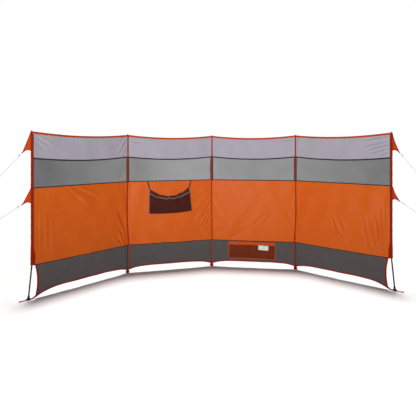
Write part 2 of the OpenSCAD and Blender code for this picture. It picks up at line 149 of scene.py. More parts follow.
# Creases, each as bay, from (s, z) to (s, z), width and depth
CREASES = [
    # Bay 1: short tucks off the end pole, pulls below the window and a fan at post 2
    (0, 0.010, 1.470, 0.20, 1.36, 0.010, 0.0028),
    (0, 0.010, 1.430, 0.14, 1.33, 0.008, 0.0023),
    (0, 0.010, 1.380, 0.11, 1.27, 0.008, 0.0020),
    (0, 0.920, 1.465, 0.80, 1.28, 0.010, 0.0060),
    (0, 0.910, 1.440, 0.74, 1.30, 0.009, 0.0050),
    (0, 0.925, 1.400, 0.86, 1.26, 0.008, 0.0050),
    (0, 0.012, 0.900, 0.10, 0.975, 0.008, 0.0050),
    (0, 0.012, 0.860, 0.13, 0.960, 0.008, 0.0046),
    (0, 0.012, 0.820, 0.11, 0.900, 0.007, 0.0040),
    (0, 0.400, 0.970, 0.62, 0.86, 0.014, 0.0050),
    (0, 0.320, 0.960, 0.50, 0.80, 0.014, 0.0040),
    (0, 0.060, 0.800, 0.07, 0.34, 0.010, 0.0024),
    (0, 0.110, 0.720, 0.12, 0.33, 0.012, 0.0022),
    (0, 0.165, 0.660, 0.17, 0.34, 0.012, 0.0026),
    (0, 0.890, 0.310, 0.83, 0.47, 0.008, 0.0075),
    (0, 0.915, 0.320, 0.88, 0.45, 0.007, 0.0070),
    (0, 0.860, 0.305, 0.76, 0.43, 0.008, 0.0050),
    (0, 0.910, 0.420, 0.78, 0.70, 0.014, 0.0050),
    # Bay 2: a strong fan of folds at post 3
    (1, 0.925, 0.700, 0.80, 0.46, 0.010, 0.0080),
    (1, 0.925, 0.630, 0.80, 0.38, 0.010, 0.0085),
    (1, 0.925, 0.560, 0.83, 0.34, 0.009, 0.0080),
    (1, 0.925, 0.490, 0.87, 0.33, 0.008, 0.0070),
    (1, 0.920, 0.780, 0.74, 0.52, 0.012, 0.0060),
    (1, 0.915, 0.860, 0.72, 0.66, 0.012, 0.0045),
    (1, 0.900, 0.940, 0.70, 0.78, 0.012, 0.0035),
    (1, 0.020, 1.450, 0.30, 1.40, 0.010, 0.0036),
    (1, 0.020, 1.400, 0.24, 1.37, 0.009, 0.0030),
    (1, 0.040, 0.600, 0.26, 0.34, 0.016, 0.0030),
    (1, 0.020, 0.420, 0.10, 0.32, 0.010, 0.0040),
    # Bay 3: soft pulls that climb from the lower left to the right
    (2, 0.130, 0.340, 0.34, 0.52, 0.012, 0.0060),
    (2, 0.190, 0.330, 0.42, 0.49, 0.012, 0.0065),
    (2, 0.200, 0.430, 0.38, 0.58, 0.012, 0.0050),
    (2, 0.260, 0.520, 0.40, 0.64, 0.010, 0.0036),
    (2, 0.460, 0.480, 0.56, 0.62, 0.010, 0.0040),
    (2, 0.520, 0.440, 0.64, 0.60, 0.010, 0.0036),
    (2, 0.040, 0.880, 0.16, 0.60, 0.016, 0.0030),
    (2, 0.910, 0.420, 0.80, 0.66, 0.014, 0.0030),
    (2, 0.915, 1.430, 0.72, 1.40, 0.010, 0.0030),
    # Bay 4: tucks at post 4, a loose pull in the middle and upright folds at post 5
    (3, 0.015, 0.400, 0.075, 0.30, 0.008, 0.0060),
    (3, 0.015, 0.460, 0.10, 0.34, 0.008, 0.0044),
    (3, 0.400, 0.640, 0.48, 0.46, 0.012, 0.0060),
    (3, 0.450, 0.660, 0.54, 0.50, 0.012, 0.0048),
    (3, 0.490, 0.360, 0.44, 0.47, 0.010, 0.0046),
    (3, 0.560, 0.330, 0.52, 0.42, 0.010, 0.0040),
    (3, 0.700, 0.640, 0.77, 0.34, 0.010, 0.0075),
    (3, 0.755, 0.660, 0.82, 0.36, 0.009, 0.0080),
    (3, 0.810, 0.680, 0.86, 0.36, 0.008, 0.0085),
    (3, 0.850, 0.760, 0.885, 0.34, 0.007, 0.0080),
    (3, 0.890, 0.820, 0.905, 0.34, 0.006, 0.0060),
    (3, 0.930, 1.400, 0.70, 1.345, 0.009, 0.0060),
    (3, 0.930, 1.370, 0.74, 1.315, 0.009, 0.0065),
    (3, 0.930, 1.340, 0.78, 1.280, 0.008, 0.0060),
    (3, 0.930, 1.300, 0.83, 1.255, 0.008, 0.0050),
    (3, 0.920, 1.440, 0.66, 1.400, 0.010, 0.0044),
    (3, 0.920, 0.900, 0.72, 0.960, 0.010, 0.0030),
]
GATHER_SEED = 7
# The cloth lies still this close to a pole, and swells freely a little further in
STILL_EDGE, STILL_FADE = 0.009, 0.040
BAY_BELLY = 0.006
WAVES, WAVE_DEPTH = 9, 0.0007
SEAM_RIPPLE, SEAM_REACH = 0.0006, 0.028
POLE_PULL, POLE_REACH = 0.0009, 0.06

# How far the seam up a middle post strays at each height, on the skirt and on the orange band
SKIRT_STRAY = ([0.030, 0.060, 0.150, 0.240, LOWER_Z], [0.002, 0.013, 0.021, 0.020, 0.013])
BAND_STRAY = (
    [LOWER_Z, 0.36, 0.50, 0.66, 0.85, MIDDLE_Z],
    [0.010, 0.008, -0.003, -0.010, -0.006, 0],
)


def crease(s, z, a, b, width, depth):
    """One soft fold from a to b with a shallow valley beside it."""
    run = np.subtract(b, a)
    length = math.hypot(*run)
    t = ((s - a[0]) * run[0] + (z - a[1]) * run[1]) / length**2
    d = ((s - a[0]) * run[1] - (z - a[1]) * run[0]) / length
    spread = width * (0.85 + 0.95 * np.clip(t, 0, 1))
    along = np.sin(np.pi * np.clip(t * 0.88 + 0.12, 0, 1)) ** 0.8
    ridge = np.exp(-((d / spread) ** 2))
    valley = np.exp(-(((d - 1.3 * spread) / spread) ** 2))
    return depth * along * (ridge - 0.75 * valley)


def swell(k, s, z):
    """How far the cloth of bay k stands to the front of its flat plane."""
    depth = bpy.context.scene.windbreak_cloth.fold_depth
    rng = np.random.default_rng(GATHER_SEED + k)
    s, z = np.asarray(s, float), np.asarray(z, float)
    u = s / BAY_W
    gate = smooth_step((s - STILL_EDGE) / STILL_FADE)
    gate = gate * smooth_step((BAY_W - STILL_EDGE - s) / STILL_FADE)
    out = BAY_BELLY * np.sin(np.pi * u) * np.sin(2.1 * z + rng.uniform(0, 1.5))
    for _ in range(WAVES):
        fs, fz, phase = rng.uniform(1.5, 5.5), rng.uniform(-3.5, 3.5), rng.uniform(0, 6.3)
        out = out + WAVE_DEPTH * np.sin(2 * np.pi * (fs * s + fz * z) + phase)
    seams = [hem_height(s), upper_seam_height(s), MIDDLE_Z + 0 * s, LOWER_Z + 0 * s]
    for seam in seams:
        near = np.exp(-np.abs(z - seam) / SEAM_REACH)
        p1, p2 = rng.uniform(0, 6.3, 2)
        ripple = np.sin(2 * np.pi * s / 0.061 + p1) + 0.6 * np.sin(2 * np.pi * s / 0.037 + p2)
        out = out + SEAM_RIPPLE * near * ripple * (1 - np.exp(-np.abs(z - seam) / 0.006))
    for d in (s, BAY_W - s):
        p1, p2 = rng.uniform(0, 6.3, 2)
        pull = np.sin(2 * np.pi * z / 0.115 + p1) + 0.7 * np.sin(2 * np.pi * z / 0.068 + p2)
        out = out + POLE_PULL * np.exp(-d / POLE_REACH) * pull
    for bay, s0, z0, s1, z1, width, deep in CREASES:
        if bay == k:
            out = out + crease(s, z, (s0, z0), (s1, z1), width, deep)
    return depth * gate * out


def on_bay(k, s, y, z):
    """Points from a bay's own frame: s along the bay, y to the back, z up."""
    s, y, z = np.broadcast_arrays(s, y, z)
    x0 = POSTS[k, 0] + ALONG[k, 0] * s + BACK[k, 0] * y
    y0 = POSTS[k, 1] + ALONG[k, 1] * s + BACK[k, 1] * y
    return np.stack([x0, y0, z], -1)


def on_cloth(k, s, z, lift=0.0):
    return on_bay(k, s, CLOTH_Y - lift - swell(k, s, z), z)


def seam_bow(i, z):
    """How far the seam up post i strays from its pole, to the right."""
    if i == BAYS // 2:
        return 0.002 * np.sin(5 * z)
    stray = np.where(z < LOWER_Z, np.interp(z, *SKIRT_STRAY), np.interp(z, *BAND_STRAY))
    return stray * (1 if i < BAYS // 2 else -1)


def on_post(i, d, z, lift=0.0):
    """Points on the cloth beside a middle post: d is positive on the bay to its right."""
    d, z, lift = np.broadcast_arrays(np.asarray(d, float), z, lift)
    s = (lift - CLOTH_Y) * math.tan(half_turn(i)) + np.abs(d)
    right = on_cloth(i, s, z, lift)
    left = on_cloth(i - 1, BAY_W - s, z, lift)
    return np.where((d >= 0)[..., None], right, left)


# ---- Meshes ----


def grid_faces(rows, cols, wrap=False):
    """Faces of a grid of points; wrap joins the last column to the first."""
    r, c = np.meshgrid(np.arange(rows - 1), np.arange(cols if wrap else cols - 1), indexing="ij")
    nxt = (c + 1) % cols
    quads = np.stack([r * cols + c, r * cols + nxt, (r + 1) * cols + nxt, (r + 1) * cols + c], -1)
    return quads.reshape(-1, 4).tolist()


class Cut:
    """Collects points, faces and flat cloth coordinates, and makes one mesh of them."""

    def __init__(self):
        self.points, self.flat, self.faces = [], [], []
        self.count = 0

    def add(self, points, flat, faces):
        points = np.asarray(points, float).reshape(-1, 3)
        self.points.append(points)
        self.flat.append(np.asarray(flat, float).reshape(-1, 2))
        self.faces += [[i + self.count for i in f] for f in faces]
        self.count += len(points)
        return self

    def panel(self, front, flat, thickness=0.0):
        """A grid of points as a cloth; with a thickness it is closed round its edges."""
        rows, cols = front.shape[:2]
        faces = grid_faces(rows, cols)
        if not thickness:
            return self.add(front, flat, faces)
        du = np.gradient(front, axis=1)
        dv = np.gradient(front, axis=0)
        normal = np.cross(dv, du)
        normal /= np.maximum(np.linalg.norm(normal, axis=-1, keepdims=True), 1e-12)
        count = rows * cols
        rim = [*range(cols), *[r * cols + cols - 1 for r in range(1, rows)]]
        rim += [(rows - 1) * cols + c for c in range(cols - 2, -1, -1)]
        rim += [r * cols for r in range(rows - 2, 0, -1)]
        back = [[i + count for i in reversed(f)] for f in faces]
        sides = [[b, a, a + count, b + count] for a, b in zip(rim, rim[1:] + rim[:1])]
        both = np.concatenate([front.reshape(-1, 3), (front + normal * thickness).reshape(-1, 3)])
        return self.add(both, np.tile(np.asarray(flat).reshape(-1, 2), (2, 1)), faces + back + sides)

    def sweep(self, rings, flat=None, capped=True):
        """Closed rings of points joined one after another."""
        rows, cols = rings.shape[:2]
        faces = grid_faces(rows, cols, wrap=True)
        if capped:
            faces += [list(range(cols)), [(rows - 1) * cols + c for c in range(cols - 1, -1, -1)]]
        if flat is None:
            step = np.linalg.norm(np.diff(rings.mean(1), axis=0), axis=1)
            length = np.concatenate([[0], np.cumsum(step)])
            around = np.linalg.norm(np.roll(rings[0], -1, 0) - rings[0], axis=1)
            girth = np.concatenate([[0], np.cumsum(around)[:-1]])
            flat = np.stack(np.broadcast_arrays(length[:, None], girth[None]), -1)
        return self.add(rings, flat, faces)

    def make(self, name, material, closed=True):
        mesh = bpy.data.meshes.new(name)
        points = np.concatenate(self.points)
        flat = np.concatenate(self.flat)
        mesh.from_pydata(points.tolist(), [], self.faces)
        layer = mesh.uv_layers.new(name="cloth")
        corners = np.zeros(len(mesh.loops), np.int32)
        mesh.loops.foreach_get("vertex_index", corners)
        layer.data.foreach_set("uv", flat[corners].ravel())
        mesh.polygons.foreach_set("use_smooth", np.ones(len(mesh.polygons), bool))
        if closed:
            work = bmesh.new()
            work.from_mesh(mesh)
            bmesh.ops.recalc_face_normals(work, faces=work.faces)
            work.to_mesh(mesh)
            work.free()
        mesh.materials.append(material)
        mesh.validate()
        obj = bpy.data.objects.new(name, mesh)
        bpy.context.scene.collection.objects.link(obj)
        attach(obj, "root")
        return obj


def tape_ring(width, thick, count=12):
    """The rounded flat section of a tape, as (across, up) pairs."""
    a = np.linspace(0, 2 * np.pi, count, endpoint=False) + np.pi / count
    across = np.sign(np.cos(a)) * np.abs(np.cos(a)) ** 0.5 * width / 2
    up = np.sign(np.sin(a)) * np.abs(np.sin(a)) ** 0.7 * thick / 2
    return across, up


def path_sides(path):
    """Unit vectors to the left of a path's run, in the plane of the cloth."""
    t = np.gradient(path, axis=0)
    t /= np.linalg.norm(t, axis=1, keepdims=True)
    return np.stack([-t[:, 1], t[:, 0]], 1)


STITCHES = {"orange": [], "dark": [], "grey": []}
STITCH_RISE = 0.00015


def tape(cut, place, path, width, thick, lift, thread=None, inset=0.002, sides=(-1, 1)):
    """A tape along a path of (s, z); place turns (s, z, lift) into points in the row frame."""
    path = np.asarray(path, float)
    left = path_sides(path)
    across, up = tape_ring(width, thick)
    at = path[:, None, :] + left[:, None, :] * across[None, :, None]
    rings = place(at[..., 0], at[..., 1], lift + np.broadcast_to(up, at.shape[:2]))
    cut.sweep(rings)
    if thread:
        for side in sides:
            line = path + left * side * (width / 2 - inset)
            top = lift + thick / 2 + STITCH_RISE
            STITCHES[thread].append(place(line[:, 0], line[:, 1], top))


def line_between(a, b):
    count = max(3, int(math.hypot(*np.subtract(b, a)) / CELL) + 1)
    return np.linspace(a, b, count)


# ---- Finishes ----


def build(tree, kind, settings=None, **inputs):
    """Adds a node; an input that is a socket is linked, and any other value is set."""
    node = tree.nodes.new(kind)
    for key, value in (settings or {}).items():
        setattr(node, key, value)
    for key, value in inputs.items():
        socket = node.inputs[int(key[1:])] if key[0] == "_" else node.inputs[key.replace("_", " ")]
        if isinstance(value, bpy.types.NodeSocket):
            tree.links.new(value, socket)
        else:
            socket.default_value = value
    return node


def maths(tree, operation, a, b=0.0, c=0.0):
    return build(tree, "ShaderNodeMath", {"operation": operation}, _0=a, _1=b, _2=c).outputs[0]


def linear(colour):
    """The scene's colour for one written as it looks on a screen."""
    return [c / 12.92 if c <= 0.04045 else ((c + 0.055) / 1.055) ** 2.4 for c in colour]


def rgba(colour, gain=1.0):
    return (*[min(1.0, c * gain) for c in linear(colour)], 1.0)


def shader(name, roughness, metallic=0.0, specular=0.5, sheen=0.0):
    material = bpy.data.materials.new(name)
    material.use_nodes = True
    tree = material.node_tree
    surface = tree.nodes["Principled BSDF"]
    surface.inputs["Roughness"].default_value = roughness
    surface.inputs["Metallic"].default_value = metallic
    surface.inputs["Specular IOR Level"].default_value = specular
    surface.inputs["Sheen Weight"].default_value = sheen
    return material, tree, surface


def mottled(tree, vector, colour, amount, scale):
    """The colour with soft lighter and darker places."""
    cloud = build(tree, "ShaderNodeTexNoise", Vector=vector, Scale=scale, Detail=3.0)
    ramp = build(
        tree,
        "ShaderNodeMix",
        {"data_type": "RGBA"},
        _0=cloud.outputs["Fac"],
        _6=rgba(colour, 1 - amount),
        _7=rgba(colour, 1 + amount),
    )
    return ramp.outputs[2]


def bumped(tree, surface, height, distance, strength=1.0, after=None):
    bump = build(
        tree, "ShaderNodeBump", Height=height, Distance=distance, Strength=strength
    )
    if after is not None:
        tree.links.new(after, bump.inputs["Normal"])
    tree.links.new(bump.outputs["Normal"], surface.inputs["Normal"])
    return bump.outputs["Normal"]


def threads(tree, pitch):
    """Two waves that cross, one for the warp and one for the weft."""
    uv = build(tree, "ShaderNodeUVMap", {"uv_map": "cloth"}).outputs[0]
    axes = build(tree, "ShaderNodeSeparateXYZ", Vector=uv)
    turns = 2 * math.pi / pitch
    warp = maths(tree, "SINE", maths(tree, "MULTIPLY", axes.outputs[0], turns))
    weft = maths(tree, "SINE", maths(tree, "MULTIPLY", axes.outputs[1], turns))
    return uv, warp, weft


def cloth_finish(name, colour, roughness=0.62, specular=0.15, mottle=0.05, crumple=0.0009):
    """Plain woven polyester: a fine weave and faint crumples."""
    pitch = bpy.context.scene.windbreak_cloth.weave_pitch
    material, tree, surface = shader(name, roughness, specular=specular)
    uv, warp, weft = threads(tree, pitch)
    weave = maths(tree, "MULTIPLY", warp, weft)
    base = mottled(tree, uv, colour, mottle, 9.0)
    # Painted shade: the colour follows the weave, a little darker where its bump sinks between the threads
    thread = maths(tree, "MULTIPLY_ADD", weave, 0.035, 1.0)
    toned = build(tree, "ShaderNodeVectorMath", {"operation": "SCALE"}, _0=base, Scale=thread)
    tree.links.new(toned.outputs[0], surface.inputs["Base Color"])
    stretch = build(tree, "ShaderNodeMapping", Vector=uv, Scale=(1.0, 0.55, 1.0))
    soft = build(
        tree, "ShaderNodeTexNoise", Vector=stretch.outputs[0], Scale=46.0, Detail=4.0, Roughness=0.55
    )
    first = bumped(tree, surface, soft.outputs["Fac"], crumple * 4, 0.55)
    bumped(tree, surface, weave, pitch * 0.12, 0.35, after=first)
    return material


def net_finish(name, colour, thread_cover, hole_cover, pitch=0.0021, mottle=0.08, density_and_shade=None):
    """A fine net: dark threads that cross, and small holes between them.

    The last argument names an attribute that adds to the net's cover at each place; on the window net it
    paints shade, covering more and so looking darker towards the outer bays.
    """
    material, tree, surface = shader(name, 0.75, specular=0.05)
    uv = build(tree, "ShaderNodeUVMap", {"uv_map": "cloth"}).outputs[0]
    axes = build(tree, "ShaderNodeSeparateXYZ", Vector=uv)
    turns = math.pi / pitch
    holes = []
    for axis in (0, 1):
        wave = maths(tree, "SINE", maths(tree, "MULTIPLY", axes.outputs[axis], turns))
        holes.append(maths(tree, "ABSOLUTE", wave))
    middle = maths(tree, "MINIMUM", holes[0], holes[1])
    hole = build(
        tree, "ShaderNodeMapRange", {"interpolation_type": "SMOOTHSTEP"},
        Value=middle, From_Min=0.25, From_Max=0.6, To_Min=thread_cover, To_Max=hole_cover,
    )
    base = mottled(tree, uv, colour, mottle, 14.0)
    tree.links.new(base, surface.inputs["Base Color"])
    cover = hole.outputs[0]
    # Painted shade: the attribute, where given, adds cover and so darkness; the noise gives it a random
    # unevenness
    if density_and_shade:
        knit_and_shade = build(tree, "ShaderNodeAttribute", {"attribute_name": density_and_shade}).outputs["Fac"]
        patch = build(tree, "ShaderNodeTexNoise", Vector=uv, Scale=5.0, Detail=1.0).outputs["Fac"]
        knit_and_shade = maths(tree, "MULTIPLY_ADD", patch, 0.07, maths(tree, "SUBTRACT", knit_and_shade, 0.035))
        cover = maths(tree, "ADD", cover, knit_and_shade)
    tree.links.new(cover, surface.inputs["Alpha"])
    bumped(tree, surface, middle, -0.0003, 0.5)
    return material


def webbing_finish(name, colour, pitch=0.0016):
    """Woven tape with ribs across it."""
    material, tree, surface = shader(name, 0.75, specular=0.05)
    uv, warp, weft = threads(tree, pitch)
    tree.links.new(mottled(tree, uv, colour, 0.10, 60.0), surface.inputs["Base Color"])
    first = bumped(tree, surface, warp, 0.00016, 0.8)
    bumped(tree, surface, maths(tree, "MULTIPLY", warp, weft), 0.00012, 0.6, after=first)
    return material


def grained_finish(name, colour, roughness, metallic=0.0, grain=260.0, relief=0.0002, specular=0.5):
    """Paint, rubber, plastic or metal, with a fine grain and small scuffs."""
    material, tree, surface = shader(name, roughness, metallic, specular)
    at = build(tree, "ShaderNodeTexCoord").outputs["Object"]
    tree.links.new(mottled(tree, at, colour, 0.12, 35.0), surface.inputs["Base Color"])
    fine = build(tree, "ShaderNodeTexNoise", Vector=at, Scale=grain, Detail=3.0)
    rub = build(tree, "ShaderNodeTexNoise", Vector=at, Scale=18.0, Detail=5.0)
    rough = build(
        tree, "ShaderNodeMapRange",
        Value=rub.outputs["Fac"], From_Min=0.3, From_Max=0.7,
        To_Min=max(0.05, roughness - 0.1), To_Max=min(1.0, roughness + 0.12),
    )
    tree.links.new(rough.outputs[0], surface.inputs["Roughness"])
    bumped(tree, surface, fine.outputs["Fac"], relief, 0.5)
    return material


def rope_finish(name, colour):
    """A braided cord: strands that cross on a slant."""
    material, tree, surface = shader(name, 0.75, specular=0.25, sheen=0.2)
    uv = build(tree, "ShaderNodeUVMap", {"uv_map": "cloth"}).outputs[0]
    axes = build(tree, "ShaderNodeSeparateXYZ", Vector=uv)
    along = maths(tree, "MULTIPLY", axes.outputs[0], 2 * math.pi / 0.0045)
    round_it = maths(tree, "MULTIPLY", axes.outputs[1], 2 * math.pi / 0.0031)
    one = maths(tree, "SINE", maths(tree, "ADD", along, round_it))
    two = maths(tree, "SINE", maths(tree, "SUBTRACT", along, round_it))
    braid = maths(tree, "MAXIMUM", one, two)
    base = mottled(tree, uv, colour, 0.08, 90.0)
    # Painted shade: the colour is darker in the grooves between the strands
    shade = maths(tree, "MULTIPLY_ADD", braid, 0.12, 0.88)
    toned = build(tree, "ShaderNodeVectorMath", {"operation": "SCALE"}, _0=base, Scale=shade)
    tree.links.new(toned.outputs[0], surface.inputs["Base Color"])
    bumped(tree, surface, braid, 0.0004, 0.8)
    return material


FINISH = {}


def finish_named(name):
    """Makes a finish the first time that it is asked for."""
    if name not in FINISH:
        dye = bpy.context.scene.windbreak_dyes
        FINISH[name] = {
            "grey_cloth": lambda: cloth_finish("grey_cloth", dye.grey, 0.6, mottle=0.03),
            "orange_cloth": lambda: cloth_finish("orange_cloth", dye.orange, 0.42, 0.085),
            "flap_cloth": lambda: cloth_finish("flap_cloth", dye.flaps, 0.6),
            "floor_net": lambda: net_finish("floor_net", dye.floor_net, 0.97, 0.86, 0.0026, 0.2),
            "window_net": lambda: net_finish("window_net", dye.window, 0.08, -0.12, density_and_shade="knit_and_shade"),
            "skirt_net": lambda: net_finish("skirt_net", dye.skirt, 0.995, 0.94),
            "pocket_net": lambda: net_finish("pocket_net", dye.pocket, 0.9, 0.55, 0.0026, 0.3),
            "sleeve_cloth": lambda: cloth_finish("sleeve_cloth", dye.sleeve, 0.6, 0.03, 0.06),
            "hem_binding": lambda: webbing_finish("hem_binding", dye.hem, 0.0012),
            "skirt_binding": lambda: webbing_finish("skirt_binding", dye.skirt_hem, 0.0012),
            "pocket_trim": lambda: webbing_finish("pocket_trim", dye.pocket_trim, 0.0012),
            "orange_binding": lambda: webbing_finish("orange_binding", dye.binding, 0.0012),
            "charcoal_tape": lambda: webbing_finish("charcoal_tape", dye.tape, 0.0012),
            "grey_tape": lambda: webbing_finish("grey_tape", dye.pocket_tape, 0.0012),
            "red_webbing": lambda: webbing_finish("red_webbing", dye.webbing),
            "pale_rope": lambda: rope_finish("pale_rope", dye.rope),
            "white_label": lambda: cloth_finish("white_label", dye.label, 0.5, 0.15, 0.02, 0.0002),
            "black_pole": lambda: grained_finish("black_pole", (0.03, 0.03, 0.032), 0.5, specular=0.1),
            "black_rubber": lambda: grained_finish(
                "black_rubber", (0.06, 0.055, 0.055), 0.75, grain=420.0, relief=0.0003, specular=0.08
            ),
            "slider_plastic": lambda: grained_finish("slider_plastic", (0.78, 0.77, 0.76), 0.45),
            "peg_steel": lambda: grained_finish("peg_steel", (0.72, 0.73, 0.75), 0.3, 1.0),
        }[name]()
    return FINISH[name]


def sewn(cut, name, slot, nodes=(), closed=True, finish=None):
    """Makes a piece with the finish named, or else with its slot's finish, in place of some CAD nodes, which
    it hides.
    """
    obj = cut.make(name, finish_named(finish or slot), closed)
    if nodes:
        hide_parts(*nodes)
    return obj


def grid_area(points):
    a, b = points[1:, :-1] - points[:-1, :-1], points[:-1, 1:] - points[:-1, :-1]
    return float(np.linalg.norm(np.cross(a, b), axis=-1).sum())


class WindbreakOperator(bpy.types.Operator):
    """Makes some of the windbreak's pieces, and can be undone"""

    bl_options = {"REGISTER", "UNDO"}


# ---- The bands of cloth ----


def band_grid(k, low, high):
    """(s, z) over one band of a bay, from its lower edge to its upper one."""
    a0, a1 = cloth_start(k), cloth_end(k)
    cols = int((a1 - a0) / CELL) + 1
    s = np.linspace(a0, a1, cols)
    lo, hi = low(s), high(s)
    rows = int((hi - lo).max() / CELL) + 2
    b = np.linspace(0, 1, rows)[:, None]
    return np.broadcast_to(s, (rows, cols)), lo * (1 - b) + hi * b


def skirt_place(k, a, z):
    """How far along its bay the skirt is, at a share a of its width and height z."""
    left = side_inset(z) if k == 0 else cloth_start(k)
    right = BAY_W - side_inset(z) if k == BAYS - 1 else cloth_end(k)
    return left * (1 - a) + right * a


def skirt_grid(k):
    cols, rows = int(BAY_W / CELL), int((LOWER_Z - SKIRT_CORNER_Z) / CELL) + 2
    a = np.linspace(0, 1, cols)
    b = np.linspace(0, 1, rows)[:, None]
    z = skirt_height(k, a) * (1 - b) + LOWER_Z * b
    return np.broadcast_arrays(skirt_place(k, a, z), z)


# Painted shade: how much the window net covers at places along the wall, counted in bays; it covers more,
# and so looks darker, towards the slanted outer bays
KNIT_AND_SHADE = (
    (0.1, 0.5, 0.85, 1.1, 1.5, 1.9, 2.1, 2.5, 2.9, 3.1, 3.5, 3.9),
    (0.92, 0.87, 0.83, 0.83, 0.74, 0.73, 0.76, 0.79, 0.78, 0.80, 0.84, 0.88),
)
BANDS = {
    "top": (upper_seam_height, hem_height, "grey_cloth", CLOTH_T),
    "window": (lambda s: MIDDLE_Z + 0 * s, upper_seam_height, "window_net", 0.0),
    "main": (lambda s: LOWER_Z + 0 * s, lambda s: MIDDLE_Z + 0 * s, "orange_cloth", CLOTH_T),
    "skirt": (None, None, "skirt_net", 0.0),
}


class WINDBREAK_OT_bands(WindbreakOperator):
    """Stretch the four bands of cloth and net over the four bays"""

    bl_idname = "windbreak.bands"
    bl_label = "Bands of cloth"

    def execute(self, context):
        for band, (low, high, slot, thick) in BANDS.items():
            for k in range(BAYS):
                s, z = skirt_grid(k) if low is None else band_grid(k, low, high)
                front = on_cloth(k, s, z)
                cut = Cut().panel(front, np.stack([s, z], -1), thick)
                name = f"{band}_cloth_{k + 1}"
                obj = sewn(cut, name, slot, [f"{band}_panel_{k + 1}"], closed=bool(thick))
                if band == "window":
                    # Painted shade: the net's cover rises towards the outer bays to darken them
                    knit_and_shade = obj.data.attributes.new("knit_and_shade", "FLOAT", "POINT")
                    knit_and_shade.data.foreach_set("value", np.interp((k + s / BAY_W).ravel(), *KNIT_AND_SHADE))
                width = float(np.ptp(s)) + 2 * SEAM_ALLOWANCE
                height = float(np.ptp(z)) + 2 * SEAM_ALLOWANCE
                cut_area = grid_area(np.stack([s, z, 0 * s], -1))
                cut_area += 2 * SEAM_ALLOWANCE * (width + height)
        return {"FINISHED"}


# ---- Bindings, tapes and hems ----


def bay_place(k):
    return lambda s, z, lift: on_cloth(k, s, z, lift)


def post_place(i):
    return lambda d, z, lift: on_post(i, d, z, lift)


HEM_W, EDGE_HEM_W = 0.0195, 0.014
UPPER_BINDING_W, BINDING_W, SKIRT_BINDING_W = 0.0114, 0.013, 0.010
UPPER_TAPE_W, MIDDLE_TAPE_W, LOWER_TAPE_W = 0.0132, 0.0095, 0.007
TAPE_T = 0.0013
HEM_T = 0.0030
# How far a folded binding stands past the cloth's own edge
HEM_PAST = 0.0012


class WINDBREAK_OT_hems(WindbreakOperator):
    """Fold the hem binding over the top edge and round the skirt"""

    bl_idname = "windbreak.hems"
    bl_label = "Hem bindings"

    def execute(self, context):
        top, skirt = Cut(), Cut()
        mid = -CLOTH_T / 2
        for k in range(BAYS):
            left = SLEEVE_R - 0.001 if k == 0 else cloth_start(k)
            right = BAY_W - SLEEVE_R + 0.001 if k == BAYS - 1 else cloth_end(k)
            s = np.linspace(left, right, int(BAY_W / CELL))
            path = np.stack([s, hem_height(s) - HEM_W / 2 + HEM_PAST], 1)
            tape(top, bay_place(k), path, HEM_W, HEM_T, mid, "orange", sides=(-1,))
            a = np.linspace(0, 1, 112)
            z = skirt_height(k, a)
            path = np.stack([skirt_place(k, a, z) + 0 * a, z + EDGE_HEM_W / 2 - HEM_PAST], 1)
            tape(skirt, bay_place(k), path, EDGE_HEM_W, HEM_T, mid, "orange", sides=(1,))
            if k in (0, BAYS - 1):
                side = 1 if k == 0 else -1
                z = np.linspace(SKIRT_CORNER_Z + 0.002, LOWER_Z, 36)
                inset = side_inset(z) + EDGE_HEM_W / 2 - 0.0018
                s = inset if k == 0 else BAY_W - inset
                edge = np.stack([s, z], 1)
                tape(skirt, bay_place(k), edge, EDGE_HEM_W + 0.001, HEM_T, mid, "orange", sides=(-side,))
        sewn(top, "top_edge_binding", "orange_binding", ["top_hem"], finish="hem_binding")
        sewn(skirt, "skirt_edge_binding", "orange_binding", ["skirt_hem"], finish="skirt_binding")
        return {"FINISHED"}


class WINDBREAK_OT_seams(WindbreakOperator):
    """Lay the tapes on the cross seams and the bindings up the pole seams"""

    bl_idname = "windbreak.seams"
    bl_label = "Seam tapes and bindings"

    def execute(self, context):
        tapes = Cut()
        for k in range(BAYS):
            s = np.linspace(cloth_start(k), cloth_end(k), int(BAY_W / CELL))
            for height, width in (
                (upper_seam_height(s), UPPER_TAPE_W),
                (MIDDLE_Z + 0 * s, MIDDLE_TAPE_W),
                (LOWER_Z + 0 * s, LOWER_TAPE_W),
            ):
                path = np.stack([s, height], 1)
                tape(tapes, bay_place(k), path, width, TAPE_T, TAPE_T / 2, "dark", inset=0.0015)
        sewn(tapes, "cross_seam_tapes", "charcoal_tape", ["seam_tapes"])
        bindings = Cut()
        for i in range(1, BAYS):
            z = np.linspace(SKIRT_POST_Z + 0.004, HEM_Z - 0.002, 170)
            for part, width in (
                (z >= MIDDLE_Z - 0.003, UPPER_BINDING_W),
                ((z >= LOWER_Z) & (z <= MIDDLE_Z + 0.003), BINDING_W),
                (z <= LOWER_Z + 0.006, SKIRT_BINDING_W),
            ):
                path = np.stack([seam_bow(i, z[part]), z[part]], 1)
                tape(
                    bindings, post_place(i), path, width, TAPE_T * 1.3, TAPE_T * 1.4, "orange", inset=0.0022
                )
        sewn(bindings, "pole_seam_bindings", "orange_binding", ["seam_bindings"])
        return {"FINISHED"}


# ---- Sleeves and tip pockets ----

SLEEVE_SEED = 11
SLEEVE_T = 0.0008
SLEEVE_MID_R = SLEEVE_R - 0.0007
# Dark strips beside the end sleeves and up the middle seam bindings: partly a dark sewn edge, partly painted
# shade of the poles and sleeves
END_EDGING_SHADE_W, SEAM_EDGING_SHADE_W, EDGING_SHADE_T = 0.0045, 0.0055, 0.0009
EDGING_SHADE_TOP = HEM_Z - 0.012


def rounded(path, times=2):
    """The path with its corners cut back, and its ends kept."""
    for _ in range(times):
        a, b = path[:-1], path[1:]
        cut = np.stack([0.75 * a + 0.25 * b, 0.25 * a + 0.75 * b], 1).reshape(-1, 2)
        path = np.concatenate([path[:1], cut, path[-1:]])
    return path


